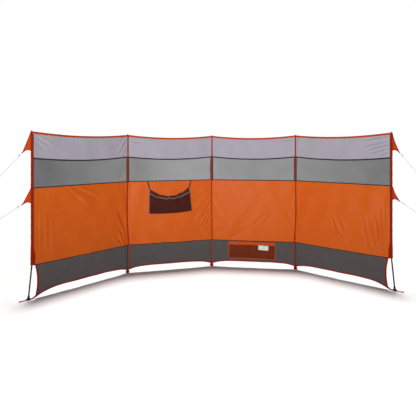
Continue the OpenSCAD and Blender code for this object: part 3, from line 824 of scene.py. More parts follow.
def thickened(path, thick):
    """A closed outline round a path, half its thickness to each side."""
    left = path_sides(path) * thick / 2
    return np.concatenate([path + left, (path - left)[::-1]])


def turned(path, angle):
    c, s = math.cos(angle), math.sin(angle)
    return np.stack([path[:, 0] * c - path[:, 1] * s, path[:, 0] * s + path[:, 1] * c], 1)


def middle_sleeve_section(turn):
    """From one sewn flange round the back of the pole to the other."""
    r = SLEEVE_MID_R
    arc = np.radians(np.linspace(-32, 90, 8))
    y = CLOTH_Y + CLOTH_T + 0.0007
    flange = turned(np.array([[FLANGE_W, y], [FLANGE_W * 0.8, y], [0.011, y]]), -turn)
    right = np.concatenate([flange, np.stack([r * np.cos(arc), r * np.sin(arc)], 1)])
    left = right[::-1][1:] * [-1, 1]
    return rounded(np.concatenate([right, left]), 1)


def end_sleeve_section(k, z, slack, spread):
    """Round an end pole, and over the cloth's edge by the spread; slack is on the outer side."""
    r = SLEEVE_MID_R
    arc = np.radians(np.linspace(250, 60, 12))
    ring = np.stack([r * np.cos(arc), r * np.sin(arc)], 1)
    ring[:, 0] -= slack * np.clip(-np.cos(arc), 0, 1)
    lip = END_EDGE + 0.0012 + spread
    on_lap = np.linspace(lip, 0.0050, 5)
    front = CLOTH_Y - 0.0009 - swell(k, on_lap if k == 0 else BAY_W - on_lap, np.full(5, z))
    # Down the pole's inner side to the back of the cloth
    back = np.array([[0.0076, -0.001], [0.0090, CLOTH_Y + 0.0034], [0.0115, CLOTH_Y + 0.0022]])
    return rounded(np.concatenate([np.stack([on_lap, front], 1), ring, back]), 1)


class WINDBREAK_OT_sleeves(WindbreakOperator):
    """Sew the pole sleeves and the pockets over the poles' tips"""

    bl_idname = "windbreak.sleeves"
    bl_label = "Pole sleeves and tip pockets"

    def execute(self, context):
        rng = np.random.default_rng(SLEEVE_SEED)
        edging_and_shade = Cut()
        zs = np.linspace(LOWER_Z, TIP_Z - TIP_POCKET_H + 0.004, 110)
        for i in range(len(POSTS)):
            end = i in (0, BAYS)
            heading = HEADING[0] if i == 0 else HEADING[-1] if end else (HEADING[i - 1] + HEADING[i]) / 2
            p1, p2 = rng.uniform(0, 6.3, 2)
            rings = []
            for z in zs:
                wave = 0.0005 * math.sin(2 * math.pi * z / 0.09 + p1)
                wave += 0.0003 * math.sin(2 * math.pi * z / 0.041 + p2)
                if end:
                    low = float(smooth_step((0.50 - z) / 0.14))
                    k = 0 if i == 0 else BAYS - 1
                    section = end_sleeve_section(k, z, 0.0006 + 0.0025 * low + wave, 0.015 * low)
                    section = thickened(section, SLEEVE_T)
                    if i:
                        section = section * [-1, 1]
                else:
                    section = middle_sleeve_section(half_turn(i))
                    outer = np.clip(section[:, 1:] / SLEEVE_R, 0, 1)
                    section = thickened(section * (1 + outer * wave / SLEEVE_R), SLEEVE_T)
                plan = turned(section, heading) + POSTS[i]
                rings.append(np.column_stack([plan, np.full(len(plan), z)]))
            rings = np.array(rings)
            girth = np.linalg.norm(np.diff(rings[0, : rings.shape[1] // 2], axis=0), axis=1).sum()
            obj = sewn(Cut().sweep(rings), f"sleeve_{i + 1}", "sleeve_cloth", ["pole_sleeves"])
            if end:
                # Partly painted shade: a dark strip down the end sleeve's inner edge
                s = END_EDGE + 0.0026 if i == 0 else BAY_W - END_EDGE - 0.0026
                edge = np.linspace(LOWER_Z, EDGING_SHADE_TOP, 140)
                place = bay_place(0 if i == 0 else BAYS - 1)
                path = np.stack([0 * edge + s, edge], 1)
                tape(edging_and_shade, place, path, END_EDGING_SHADE_W, EDGING_SHADE_T, 0.0004, "dark", 0.0005)
            else:
                for side in (-1, 1):
                    d = side * (FLANGE_W - 0.003)
                    back = on_post(i, d, zs, -CLOTH_T - 0.0017)
                    STITCHES["orange"].append(back)
                # Partly painted shade: a dark strip beside the binding, from the windows up
                edge = np.linspace(MIDDLE_Z, EDGING_SHADE_TOP, 76)
                path = np.stack([0 * edge + UPPER_BINDING_W / 2 + 0.001, edge], 1)
                tape(edging_and_shade, post_place(i), path, SEAM_EDGING_SHADE_W, EDGING_SHADE_T, 0.0006)
            self.tip(i, heading)
        sewn(edging_and_shade, "dark_edgings_and_shade", "charcoal_tape")
        return {"FINISHED"}

    def tip(self, i, heading):
        """A pocket folded over the pole's tip, flattened towards its point."""
        z0, top, count = TIP_Z - TIP_POCKET_H - 0.003, TIP_Z - 0.004, 28
        a = np.linspace(0, 2 * np.pi, count, endpoint=False)
        rings = []
        for t in np.linspace(0, 1, 26):
            z = z0 + t * (top - z0)
            close = smooth_step((t - 0.55) / 0.45)
            rx = SLEEVE_R * (1.04 - 0.45 * close) + 0.0003 * math.sin(18 * t)
            ry = SLEEVE_R * (1.04 - 0.78 * close)
            fold = 1 + 0.03 * np.sin(2 * a + 3 * t) * t
            ring = turned(np.stack([rx * fold * np.cos(a), ry * fold * np.sin(a)], 1), heading)
            rings.append(np.column_stack([ring + POSTS[i], np.full(count, z)]))
        inner = [np.column_stack([
            POSTS[i] + (r[:, :2] - POSTS[i]) * (1 - 0.0009 / SLEEVE_R), r[:, 2] - 0.0012
        ]) for r in rings[::-1]]
        inner = [r for r in inner if r[0, 2] > z0 - 0.0013 and r[0, 2] < TIP_Z - 0.006]
        shell = np.array(rings[::-1] + inner[::-1])
        obj = sewn(Cut().sweep(shell), f"tip_pocket_{i + 1}", "sleeve_cloth", ["tip_pockets"])


# ---- Feet and webbing ----

# How many times as wide as its CAD node a webbing pocket is, where it bulges
CUP_EASE = 1.12
STRAP_W, STRAP_T = 0.020, 0.0034
# A strap's line as (out from the pole, height), from the tab's end along the ground, under the
# foot, and up to the skirt's corner
STRAP_LINE = np.array([
    [-0.101, 0.0064], [-0.092, 0.0030], [-0.078, 0.0013], [-0.050, 0.0011],
    [-0.028, 0.0011], [-0.006, 0.0013], [0.004, 0.0032], [0.013, 0.0090], [0.024, 0.0180],
])


class WINDBREAK_OT_feet(WindbreakOperator):
    """Fold the webbing pockets under the middle poles and lay the straps at the end feet"""

    bl_idname = "windbreak.feet"
    bl_label = "Foot pockets and straps"

    def execute(self, context):
        for i, node in ((1, "foot_pocket_left"), (2, "foot_pocket_centre"), (3, "foot_pocket_right")):
            low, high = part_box(node)
            r, h = (high.x - low.x) / 2 * CUP_EASE, high.z
            turn = (HEADING[i - 1] + HEADING[i]) / 2
            a = np.linspace(0, 2 * np.pi, 40, endpoint=False)
            # Height and radius, up the outside and down the inside to the pole's end
            profile = [
                (0, 0.35), (0, 0.80), (0.0006, 0.93), (0.003, 0.99), (0.011, 1.0), (0.018, 0.95),
                (0.023, 0.84), (h - 0.0008, 0.70), (h, 0.60), (h - 0.0010, 0.50),
                (0.020, 0.55), (0.010, 0.74), (0.004, 0.72), (0.0030, 0.35),
            ]
            rings = []
            for z, share in profile:
                lobe = 1 + 0.035 * np.cos(4 * a) * min(1.0, z / 0.01)
                plan = turned(np.stack([np.cos(a), np.sin(a)], 1) * (r * share * lobe)[:, None], turn)
                rings.append(np.column_stack([plan + POSTS[i], np.full(len(a), z)]))
            side = node.removeprefix("foot_pocket_")
            obj = sewn(Cut().sweep(np.array(rings)), f"webbing_cup_{side}", "red_webbing", [node])
        self.straps()
        return {"FINISHED"}

    def straps(self):
        """Webbing from each end foot's tab to the skirt's corner"""
        cut = Cut()
        for i in (0, BAYS):
            k = 0 if i == 0 else BAYS - 1
            line = rounded(STRAP_LINE)
            left = path_sides(line)
            across, up = tape_ring(STRAP_W, STRAP_T)
            along = line[:, None, 0] + left[:, None, 0] * up
            z = line[:, None, 1] + left[:, None, 1] * up
            tilt = smooth_step((line[:, 0] + 0.012) / 0.026)[:, None]
            y = CLOTH_Y + 0.009 + across * (1 - 0.75 * tilt) - 0.008 * tilt
            z = np.maximum(z + across * 0.75 * tilt, 0.0001 + 0 * z)
            s = along if i == 0 else BAY_W - along
            cut.sweep(on_bay(k, s, np.broadcast_to(y, z.shape), z))
        obj = sewn(cut, "corner_straps", "red_webbing", ["foot_straps"])


# ---- Guys ----

END_SWEEP = math.radians(12)
END_REACH, BACK_REACH = 1.480, 1.400
UPPER_FLAP_H, LOWER_FLAP_H = 0.172, 0.135
FLAP_REACH, FLAP_TIP_DROP, FLAP_HOLLOW = 0.086, 0.008, 0.026
FLAP_T, FLAP_BINDING_W, FLAP_TIP_W = 0.0008, 0.007, 0.012
ROPE_R, PEG_R, KNOT_R, LOOP_Z = 0.0015, 0.003, 0.0032, 0.014
KNOT_TURN_R, TIE_TURN_R, TIE_BACK = 0.0022, 0.0024, 0.029
# How far the loop's point is drawn out towards the tie
LOOP_DRAWN = 0.024
# Each guy: its name, post, the height of its flap's top, the flap's height and its loop's height
GUYS = [
    ("left_upper", 0, HEM_Z, UPPER_FLAP_H, LOOP_Z + 0.0033),
    ("left_lower", 0, MIDDLE_Z, LOWER_FLAP_H, LOOP_Z),
    ("right_upper", BAYS, HEM_Z, UPPER_FLAP_H, LOOP_Z + 0.0033),
    ("right_lower", BAYS, MIDDLE_Z, LOWER_FLAP_H, LOOP_Z),
    ("back_left", 1, HEM_Z, UPPER_FLAP_H, LOOP_Z),
    ("back_centre", 2, HEM_Z, UPPER_FLAP_H, LOOP_Z),
    ("back_right", 3, HEM_Z, UPPER_FLAP_H, LOOP_Z),
]
FLAP_NODES = {0: "end_flaps_left", BAYS: "end_flaps_right"}


def guy_heading(i):
    if i == 0:
        return math.pi - END_SWEEP
    if i == BAYS:
        return END_SWEEP
    return math.pi / 2 + float(HEADING[i - 1] + HEADING[i]) / 2


def guy_reach(i):
    return END_REACH if i in (0, BAYS) else BACK_REACH


def on_guy(i, x, y, z):
    """Points from a guy's own frame: x outwards to the peg, y to its left, z up."""
    x, y, z = np.broadcast_arrays(x, y, z)
    c, s = math.cos(guy_heading(i)), math.sin(guy_heading(i))
    return np.stack([POSTS[i, 0] + c * x - s * y, POSTS[i, 1] + s * x + c * y, z], -1)


def curve_between(a, c, b, count):
    t = np.linspace(0, 1, count)[:, None]
    return (1 - t) ** 2 * a + 2 * t * (1 - t) * c + t**2 * b


def flap_edges(top_z, height, count=34):
    """A flap's upper and lower edge, from its pole to its tip."""
    top, low = np.array([SLEEVE_R - 0.001, top_z]), np.array([SLEEVE_R - 0.001, top_z - height])
    tip = np.array([FLAP_REACH, top_z - height - FLAP_TIP_DROP])
    upper = curve_between(top, (top + tip) / 2 + [-0.006, -0.003], tip + [0, 0.005], count)
    lower = curve_between(low, (low + tip) / 2 + [0, FLAP_HOLLOW], tip - [0, 0.005], count)
    return upper, lower, tip


class WINDBREAK_OT_flaps(WindbreakOperator):
    """Cut the flaps that the guys pull on, with bound edges and webbing tips"""

    bl_idname = "windbreak.flaps"
    bl_label = "Guy flaps"

    def execute(self, context):
        binding, tips = Cut(), Cut()
        for n, (name, i, top_z, height, loop_z) in enumerate(GUYS):
            upper, lower, tip = flap_edges(top_z, height)
            b = np.linspace(0, 1, 30)[:, None, None]
            flat = lower[None] * (1 - b) + upper[None] * b
            node = FLAP_NODES.get(i, "back_flaps")

            def bellied(x, z, i=i, n=n, tip=tip, height=height):
                t = np.clip((x - SLEEVE_R) / (FLAP_REACH - SLEEVE_R), 0, 1)
                v = np.clip((z - tip[1]) / height, 0, 1)
                belly = 0.0035 * np.sin(np.pi * t) * np.sin(np.pi * v)
                return belly + 0.0010 * np.sin(60 * z + 40 * x + n) * t * (1 - t) * 4

            y = bellied(flat[..., 0], flat[..., 1])
            front = on_guy(i, flat[..., 0], y, flat[..., 1])
            panel = Cut().panel(front, flat, FLAP_T)
            obj = sewn(panel, f"flap_{name}", "orange_cloth", [node], finish="flap_cloth")
            width = FLAP_REACH + 2 * SEAM_ALLOWANCE
            max(0.301 * width * (height + 0.02), grid_area(front) * 1.15)

            def place(x, z, lift, i=i, bellied=bellied):
                return on_guy(i, x, bellied(x, z) - lift, z)

            for edge in (upper, lower):
                tape(binding, place, edge[:-1], FLAP_BINDING_W, 0.0026, -FLAP_T / 2, "orange", inset=0.0018)
            pull = np.array([guy_reach(i) - FLAP_REACH, loop_z - tip[1]])
            pull /= np.linalg.norm(pull)
            end = np.array([tip - [0.016, -0.012], tip - [0.004, -0.002], tip + pull * 0.016])
            tape(tips, place, rounded(end), FLAP_TIP_W, STRAP_T, -FLAP_T / 2)
        sewn(binding, "flap_bindings", "orange_binding")
        sewn(tips, "flap_tips", "red_webbing")
        return {"FINISHED"}


def tube(line, radius, count=10):
    """Rings round a line of points."""
    line = np.asarray(line, float)
    t = np.gradient(line, axis=0)
    t /= np.linalg.norm(t, axis=1, keepdims=True)
    up = np.array([0.0, 0.0, 1.0]) if np.abs(t[:, 2]).max() < 0.97 else np.array([1.0, 0.3, 0.0])
    side = np.cross(t, up)
    side /= np.linalg.norm(side, axis=1, keepdims=True)
    rise = np.cross(side, t)
    a = np.linspace(0, 2 * np.pi, count, endpoint=False)
    radius = np.broadcast_to(np.asarray(radius, float), len(line))[:, None, None]
    return line[:, None] + radius * (
        np.cos(a)[None, :, None] * side[:, None] + np.sin(a)[None, :, None] * rise[:, None]
    )


class WINDBREAK_OT_ropes(WindbreakOperator):
    """Run each guy from its flap to its peg, with a knot at one end and a loop at the other"""

    bl_idname = "windbreak.ropes"
    bl_label = "Guy ropes"

    def execute(self, context):
        cut = Cut()
        for _, i, top_z, height, loop_z in GUYS:
            tip_z = top_z - height - FLAP_TIP_DROP
            peg = guy_reach(i)
            start = np.array([FLAP_REACH - 0.003, tip_z])
            stop = np.array([peg - 0.028, loop_z + 0.0035])
            t = np.linspace(0, 1, 150)
            run = start[None] * (1 - t[:, None]) + stop[None] * t[:, None]
            cut.sweep(tube(on_guy(i, run[:, 0], 0.0, run[:, 1]), ROPE_R))
            # The knot at the flap, as two close turns
            a = np.linspace(0, 4 * np.pi, 44)
            along = np.linspace(-0.0026, 0.0026, len(a))
            ring = on_guy(
                i, FLAP_REACH + KNOT_R + along, KNOT_TURN_R * np.cos(a),
                tip_z - 0.001 + KNOT_TURN_R * np.sin(a),
            )
            cut.sweep(tube(ring, ROPE_R * 0.95, 8))
            # The loop that drops over the peg, drawn out to a point where it is tied
            a = np.linspace(0, 2 * np.pi, 49)
            r = PEG_R + ROPE_R + 0.0004
            x = peg - r * np.cos(a) - LOOP_DRAWN * np.clip(np.cos(a), 0, 1) ** 6
            y = r * np.sin(a) * (1 - 0.5 * np.clip(np.cos(a), 0, 1) ** 2)
            z = loop_z + 0.0035 * np.clip(np.cos(a), 0, 1) ** 4
            cut.sweep(tube(on_guy(i, x, y, z), ROPE_R, 8))
            # The tie, as two and a half turns round the rope
            a = np.linspace(0, 5 * np.pi, 50)
            along = np.linspace(-0.0045, 0.0045, len(a))
            ring = on_guy(
                i, peg - TIE_BACK + along, TIE_TURN_R * np.cos(a), loop_z + 0.0036 + TIE_TURN_R * np.sin(a)
            )
            cut.sweep(tube(ring, ROPE_R * 0.9, 8))
        sewn(cut, "guy_lines", "pale_rope", ["guy_ropes"])
        return {"FINISHED"}


# ---- The hanging pocket ----

HANG_BAY = 1
HANG_MID, HANG_Z, HANG_W, HANG_H = 0.462, 0.640, 0.464, 0.274
HANG_GAP, HANG_BULGE = 0.0045, 0.028
# It hangs askew: wider at the foot, leaning left and up to the right, with a sagging lower edge
HANG_WIDE, HANG_TAPER, HANG_LEAN = 1.032, 0.085, 0.011
HANG_TILT, FOOT_TILT, FOOT_SAG = 0.014, 0.013, 0.0125
# Widths of the mouth's binding, the side bindings, the dark seams and the straps
HANG_MOUTH_W, HANG_SIDE_W, HANG_SEAM_W, HANG_STRAP_W = 0.009, 0.007, 0.008, 0.012
# Where its two straps meet the seam below the windows, as side and distance along the bay
STRAP_TOPS = ((-1, 0.213), (1, 0.691))


def hang_at(x, z, forward):
    """Points on the hanging pocket: x from its middle, z above its lower edge."""
    share = z / HANG_H
    s = HANG_MID + 0.004 - HANG_LEAN * share + x * (HANG_WIDE - HANG_TAPER * share)
    foot = 0.0035 + FOOT_TILT * x / HANG_W - FOOT_SAG * hang_dip(x)
    height = HANG_Z - 0.004 + z + HANG_TILT * x / HANG_W * share + foot * (1 - share)
    return on_cloth(HANG_BAY, s, height, HANG_GAP + forward)


def hang_dip(x):
    return np.maximum(0.0, 1 - (2 * x / HANG_W) ** 2)


def ruffle(x, turn):
    """Small waves along a gathered edge, still at its ends."""
    wave = np.sin(70 * x + turn) + 0.6 * np.sin(127 * x + 2 * turn)
    return 0.0034 * wave * hang_dip(x) ** 0.5


def hang_back_top(x):
    return HANG_H - 0.093 * hang_dip(x) ** 0.9 + ruffle(x, 0.4)


def hang_mouth(x):
    return HANG_H - 0.046 - 0.064 * hang_dip(x) ** 0.8 + ruffle(x, 2.1)


def hang_bulge(x, z):
    """How far the pocket's front stands out from its back."""
    rise = np.clip(z / np.maximum(hang_mouth(x), 0.01), 0, 1)
    out = HANG_BULGE * hang_dip(x) ** 0.8 * (1 - (1 - rise) ** 2.4)
    ripple = 0.0022 * np.sin(34 * x + 1.0) * np.sin(np.pi * rise) + 0.003 * np.sin(62 * x) * rise
    return out + 0.0012 + ripple * hang_dip(x)


class WINDBREAK_OT_hanging_pocket(WindbreakOperator):
    """Hang the net pocket on the main band"""

    bl_idname = "windbreak.hanging_pocket"
    bl_label = "Hanging pocket"

    def execute(self, context):
        x = np.linspace(-HANG_W / 2, HANG_W / 2, 76)
        b = np.linspace(0, 1, 36)[:, None]
        xs = np.broadcast_to(x, (len(b), len(x)))
        z = b * hang_back_top(x)
        back = sewn(
            Cut().panel(hang_at(xs, z, 0.0), np.stack([xs, z], -1)),
            "pocket_back_net", "pocket_net", ["hanging_pocket_back"], closed=False,
        )
        z = b * (hang_mouth(x) - 0.002)
        front = sewn(
            Cut().panel(hang_at(xs, z, hang_bulge(xs, z)), np.stack([xs, z], -1)),
            "pocket_front_net", "pocket_net", ["hanging_pocket_front"], closed=False,
        )

        def on_front(x, z, lift):
            return hang_at(x, z, hang_bulge(x, z) + lift)

        def on_back(x, z, lift):
            return hang_at(x, z, lift)

        binding = Cut()
        mouth = np.stack([x, hang_mouth(x) - 0.004], 1)
        tape(binding, on_front, mouth, HANG_MOUTH_W, 0.002, 0.0002, "grey")
        for side in (-1, 1):
            at = side * (HANG_W / 2 - 0.002)
            edge = line_between((at, 0.0), (at, HANG_H))
            tape(binding, on_back, edge, HANG_SIDE_W, 0.0026, 0.0008, "grey")
        sewn(binding, "pocket_bindings", "grey_tape", ["hanging_pocket_binding"])
        seams = Cut()
        top, foot = np.stack([x, hang_back_top(x) - 0.002], 1), np.stack([x, 0 * x + 0.001], 1)
        tape(seams, on_back, top, HANG_SEAM_W, 0.0018, 0.0002, "dark")
        tape(seams, on_back, foot, HANG_SEAM_W, 0.003, 0.0010, "dark")
        straps = Cut()
        for side, s_top in STRAP_TOPS:
            low = hang_at(np.array(side * (HANG_W / 2 - 0.003)), np.array(HANG_H - 0.012), 0.0)
            s_low = float(np.dot(low[:2] - POSTS[HANG_BAY], ALONG[HANG_BAY]))
            path = line_between((s_low, float(low[2])), (s_top, MIDDLE_Z + 0.003))
            tape(straps, bay_place(HANG_BAY), path, HANG_STRAP_W, 0.0016, 0.0042, "dark", inset=0.0018)
        sewn(seams, "pocket_dark_seams", "charcoal_tape")
        sewn(straps, "pocket_straps", "charcoal_tape", ["hanging_straps"])
        return {"FINISHED"}


# ---- The floor pocket ----

FLOOR_BAY = 2
FLOOR_LEFT, FLOOR_Z, FLOOR_W, FLOOR_H = 0.195, 0.100, 0.522, 0.188
DIVIDER_X = 0.226
MOUTH_W, EDGE_W, TOP_SEAM_W, DIVIDER_W = 0.032, 0.008, 0.007, 0.005
FLOOR_TRIM_T, FLOOR_TRIM_LIFT = 0.0020, 0.0007
FLOOR_BULGE = 0.013
LABEL_W, LABEL_H, LABEL_TILT = 0.110, 0.052, math.radians(-2.5)
LABEL_X, LABEL_Z, LABEL_STITCH_IN = FLOOR_W / 2 + 0.072 + LABEL_W / 2, 0.132, 0.003


def floor_out(x, z):
    """How far the floor pocket stands out, in two soft compartments."""
    first = x < DIVIDER_X
    start = np.where(first, 0.0, DIVIDER_X)
    width = np.where(first, DIVIDER_X, FLOOR_W - DIVIDER_X)
    across = np.clip(np.sin(np.pi * np.clip((x - start) / width, 0, 1)), 0, 1) ** 0.6
    up = np.sin(np.pi * np.clip(0.04 + 0.80 * z / FLOOR_H, 0, 1)) ** 0.7
    ripple = 0.0015 * np.sin(150 * z + 2.5 * np.sin(14 * x)) * across
    return 0.0016 + FLOOR_BULGE * across * up + ripple


def floor_at(x, z, lift=0.0):
    lean = 0.002 * np.sin(9 * x)
    return on_cloth(FLOOR_BAY, FLOOR_LEFT + x, FLOOR_Z + z + lean, floor_out(x, z) + lift)


def on_label(u, v, lift):
    """Points on the label, from its middle, as it is sewn on with a slight tilt."""
    x = LABEL_X + u * math.cos(LABEL_TILT) - v * math.sin(LABEL_TILT)
    z = LABEL_Z + u * math.sin(LABEL_TILT) + v * math.cos(LABEL_TILT)
    return floor_at(x, z, lift)


class WINDBREAK_OT_floor_pocket(WindbreakOperator):
    """Sew the two-part pocket to the skirt, with its blank label"""

    bl_idname = "windbreak.floor_pocket"
    bl_label = "Floor pocket"

    def execute(self, context):
        x = np.linspace(0.001, FLOOR_W - 0.001, 92)
        z = np.linspace(0.001, FLOOR_H - 0.012, 34)
        xs, zs = np.meshgrid(x, z)
        net = sewn(
            Cut().panel(floor_at(xs, zs), np.stack([xs, zs], -1)),
            "floor_pocket_front", "pocket_net", ["floor_pocket_net"], closed=False, finish="floor_net",
        )
        trim = Cut()
        x = np.linspace(0, FLOOR_W, 92)
        mouth_z = FLOOR_H - MOUTH_W / 2
        tape(trim, floor_at, np.stack([x, 0 * x + mouth_z], 1), MOUTH_W, 0.0022, 0.0008, "orange", 0.003)
        foot = np.stack([x, 0 * x + EDGE_W / 2], 1)
        tape(trim, floor_at, foot, EDGE_W, FLOOR_TRIM_T, FLOOR_TRIM_LIFT, "orange")
        for at in (EDGE_W / 2, FLOOR_W - EDGE_W / 2):
            edge = line_between((at, 0.002), (at, FLOOR_H - 0.002))
            tape(trim, floor_at, edge, EDGE_W, FLOOR_TRIM_T, FLOOR_TRIM_LIFT, "orange")
        top = np.stack([x, 0 * x + FLOOR_H + 0.002], 1)
        tape(trim, floor_at, top, TOP_SEAM_W, FLOOR_TRIM_T, FLOOR_TRIM_LIFT, "dark")
        sewn(
            trim, "floor_pocket_bindings", "orange_binding", ["floor_pocket_trim"], finish="pocket_trim"
        )
        divider = Cut()
        edge = line_between((DIVIDER_X, 0.002), (DIVIDER_X, FLOOR_H - MOUTH_W))
        tape(divider, floor_at, edge, DIVIDER_W, 0.0016, 0.0005, "dark", inset=0.0012)
        sewn(divider, "floor_pocket_divider", "charcoal_tape")
        w, h = LABEL_W, LABEL_H
        u, v = np.meshgrid(np.linspace(-w / 2, w / 2, 30), np.linspace(-h / 2, h / 2, 14))
        label = Cut().panel(on_label(u, v, 0.0022), np.stack([u, v], -1), 0.0009)
        tag = sewn(label, "plain_label", "white_label", ["blank_label"])
        run, rise = np.linspace(-1, 1, 30), np.linspace(-1, 1, 20)
        for u, v in ((run, -1.0), (run, 1.0), (-1.0, rise), (1.0, rise)):
            row = on_label(u * (w / 2 - LABEL_STITCH_IN), v * (h / 2 - LABEL_STITCH_IN), 0.0024)
            STITCHES["grey"].append(row)
        return {"FINISHED"}


# ---- Stitches ----


def stitch_sizes():
    trim = bpy.context.scene.windbreak_trim
    return {
        "Stitch length": trim.stitch_length,
        "Stitch step": trim.stitch_step,
        "Thread width": trim.thread_width,
    }


def stitch_tree(material):
    """Stitches along lines: a short rounded thread at each step."""
    tree = bpy.data.node_groups.new("Stitches", "GeometryNodeTree")
    face = tree.interface
    face.new_socket("Geometry", in_out="INPUT", socket_type="NodeSocketGeometry")
    for name, value in stitch_sizes().items():
        socket = face.new_socket(name, in_out="INPUT", socket_type="NodeSocketFloat")
        socket.default_value = value
        socket.subtype = "DISTANCE"
    face.new_socket("Geometry", in_out="OUTPUT", socket_type="NodeSocketGeometry")
    start = tree.nodes.new("NodeGroupInput")
    stop = tree.nodes.new("NodeGroupOutput")
    curve = build(tree, "GeometryNodeMeshToCurve", Mesh=start.outputs["Geometry"])
    points = build(
        tree, "GeometryNodeCurveToPoints", {"mode": "LENGTH"},
        Curve=curve.outputs[0], Length=start.outputs["Stitch step"],
    )
    bead = build(tree, "GeometryNodeMeshUVSphere", Segments=5, Rings=3, Radius=0.5)
    size = build(
        tree, "ShaderNodeCombineXYZ",
        X=start.outputs["Thread width"], Y=start.outputs["Thread width"], Z=start.outputs["Stitch length"],
    )
    thread = build(tree, "GeometryNodeTransform", Geometry=bead.outputs[0], Scale=size.outputs[0])
    turn = build(
        tree, "FunctionNodeAlignRotationToVector", {"axis": "Z"}, Vector=points.outputs["Tangent"]
    )
    placed = build(
        tree, "GeometryNodeInstanceOnPoints",
        Points=points.outputs["Points"], Instance=thread.outputs[0], Rotation=turn.outputs[0],
    )
    real = build(tree, "GeometryNodeRealizeInstances", Geometry=placed.outputs[0])
    smooth = build(tree, "GeometryNodeSetShadeSmooth", Geometry=real.outputs[0])
    done = build(tree, "GeometryNodeSetMaterial", Geometry=smooth.outputs[0], Material=material)
    tree.links.new(done.outputs[0], stop.inputs[0])
    return tree


def socket_id(tree, name):
    return next(i.identifier for i in tree.interface.items_tree if i.name == name)


class WINDBREAK_OT_stitches(WindbreakOperator):
    """Stitch every binding, tape and flange"""

    bl_idname = "windbreak.stitches"
    bl_label = "Stitches"

    def execute(self, context):
        for thread, slot in (("orange", "orange_binding"), ("dark", "charcoal_tape"), ("grey", "grey_tape")):
            points, edges = [], []
            for line in STITCHES[thread]:
                first = len(points)
                points += line.reshape(-1, 3).tolist()
                edges += [(n, n + 1) for n in range(first, len(points) - 1)]
            mesh = bpy.data.meshes.new(f"{thread}_lines")
            mesh.from_pydata(points, edges, [])
            guide = bpy.data.objects.new(f"{thread}_lines", mesh)
            context.scene.collection.objects.link(guide)
            tree = stitch_tree(thread_finish(thread))
            modifier = guide.modifiers.new("Stitches", "NODES")
            modifier.node_group = tree
            for name, value in stitch_sizes().items():
                modifier[socket_id(tree, name)] = value
            graph = context.evaluated_depsgraph_get()
            made = bpy.data.meshes.new_from_object(guide.evaluated_get(graph), depsgraph=graph)
            bpy.data.objects.remove(guide)
            made.name = f"{thread}_stitches"
            obj = bpy.data.objects.new(f"{thread}_stitches", made)
            context.scene.collection.objects.link(obj)
            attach(obj, "root")
        return {"FINISHED"}


def thread_finish(thread):
    """Sewing thread, a little lighter than the tape that it holds."""
    dye = bpy.context.scene.windbreak_dyes
    colour = {"orange": dye.binding, "dark": dye.tape, "grey": dye.pocket_tape}[thread]
    light = [min(1.0, c * 1.18 + 0.03) for c in colour]
    material, tree, surface = shader(f"{thread}_thread", 0.7, specular=0.08)
    at = build(tree, "ShaderNodeTexCoord").outputs["Object"]
    tree.links.new(mottled(tree, at, light, 0.12, 300.0), surface.inputs["Base Color"])
    twist = build(tree, "ShaderNodeTexNoise", Vector=at, Scale=2600.0, Detail=1.0)
    bumped(tree, surface, twist.outputs["Fac"], 0.0001, 0.6)
    return material


# ---- Poles, feet, sliders and pegs ----


class WINDBREAK_OT_hardware(WindbreakOperator):
    """Paint the poles and finish the feet, sliders and pegs"""

    bl_idname = "windbreak.hardware"
    bl_label = "Poles and hardware"

    def execute(self, context):
        finishes = {f"pole_{i}": "black_pole" for i in range(1, 6)}
        finishes |= {"pole_feet": "black_rubber", "rope_sliders": "slider_plastic", "pegs": "peg_steel"}
        for node, slot in finishes.items():
            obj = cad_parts[node]
            if not obj.material_slots:
                raise RuntimeError(f"{node} has no material slot")
            for place in obj.material_slots:
                place.material = finish_named(slot)
        return {"FINISHED"}


# ---- Stage ----

GROUND_REACH, GROUND_DROP = 40.0, 0.0002
FADE_MIDDLE = (0.0, -0.6, 0.0)
FRONT_AT, FRONT_AIM = (-1.2, -6.0, 1.0), (0.35, 0, 2.85)
FRONT_SPREAD, FRONT_SIZE = math.radians(84), 0.6
TOP_AT, TOP_AIM, TOP_ANGLE = (0.0, 1.0, 8.0), (0, 0, 0), math.radians(10)
CAMERA_AT, CAMERA_TURN = (-0.2546, -3.7328, 1.3091), math.radians(-3.2495)
SENSOR_W, CAMERA_SHIFT, CAMERA_FAR = 36.0, -0.1359, 200


def seen_by_eye(tree):
    """One for rays that look at the stage, and nothing for those that light it."""
    path = build(tree, "ShaderNodeLightPath")
    seen = maths(tree, "MAXIMUM", path.outputs["Is Camera Ray"], path.outputs["Is Glossy Ray"])
    return maths(tree, "MAXIMUM", seen, path.outputs["Is Transmission Ray"])


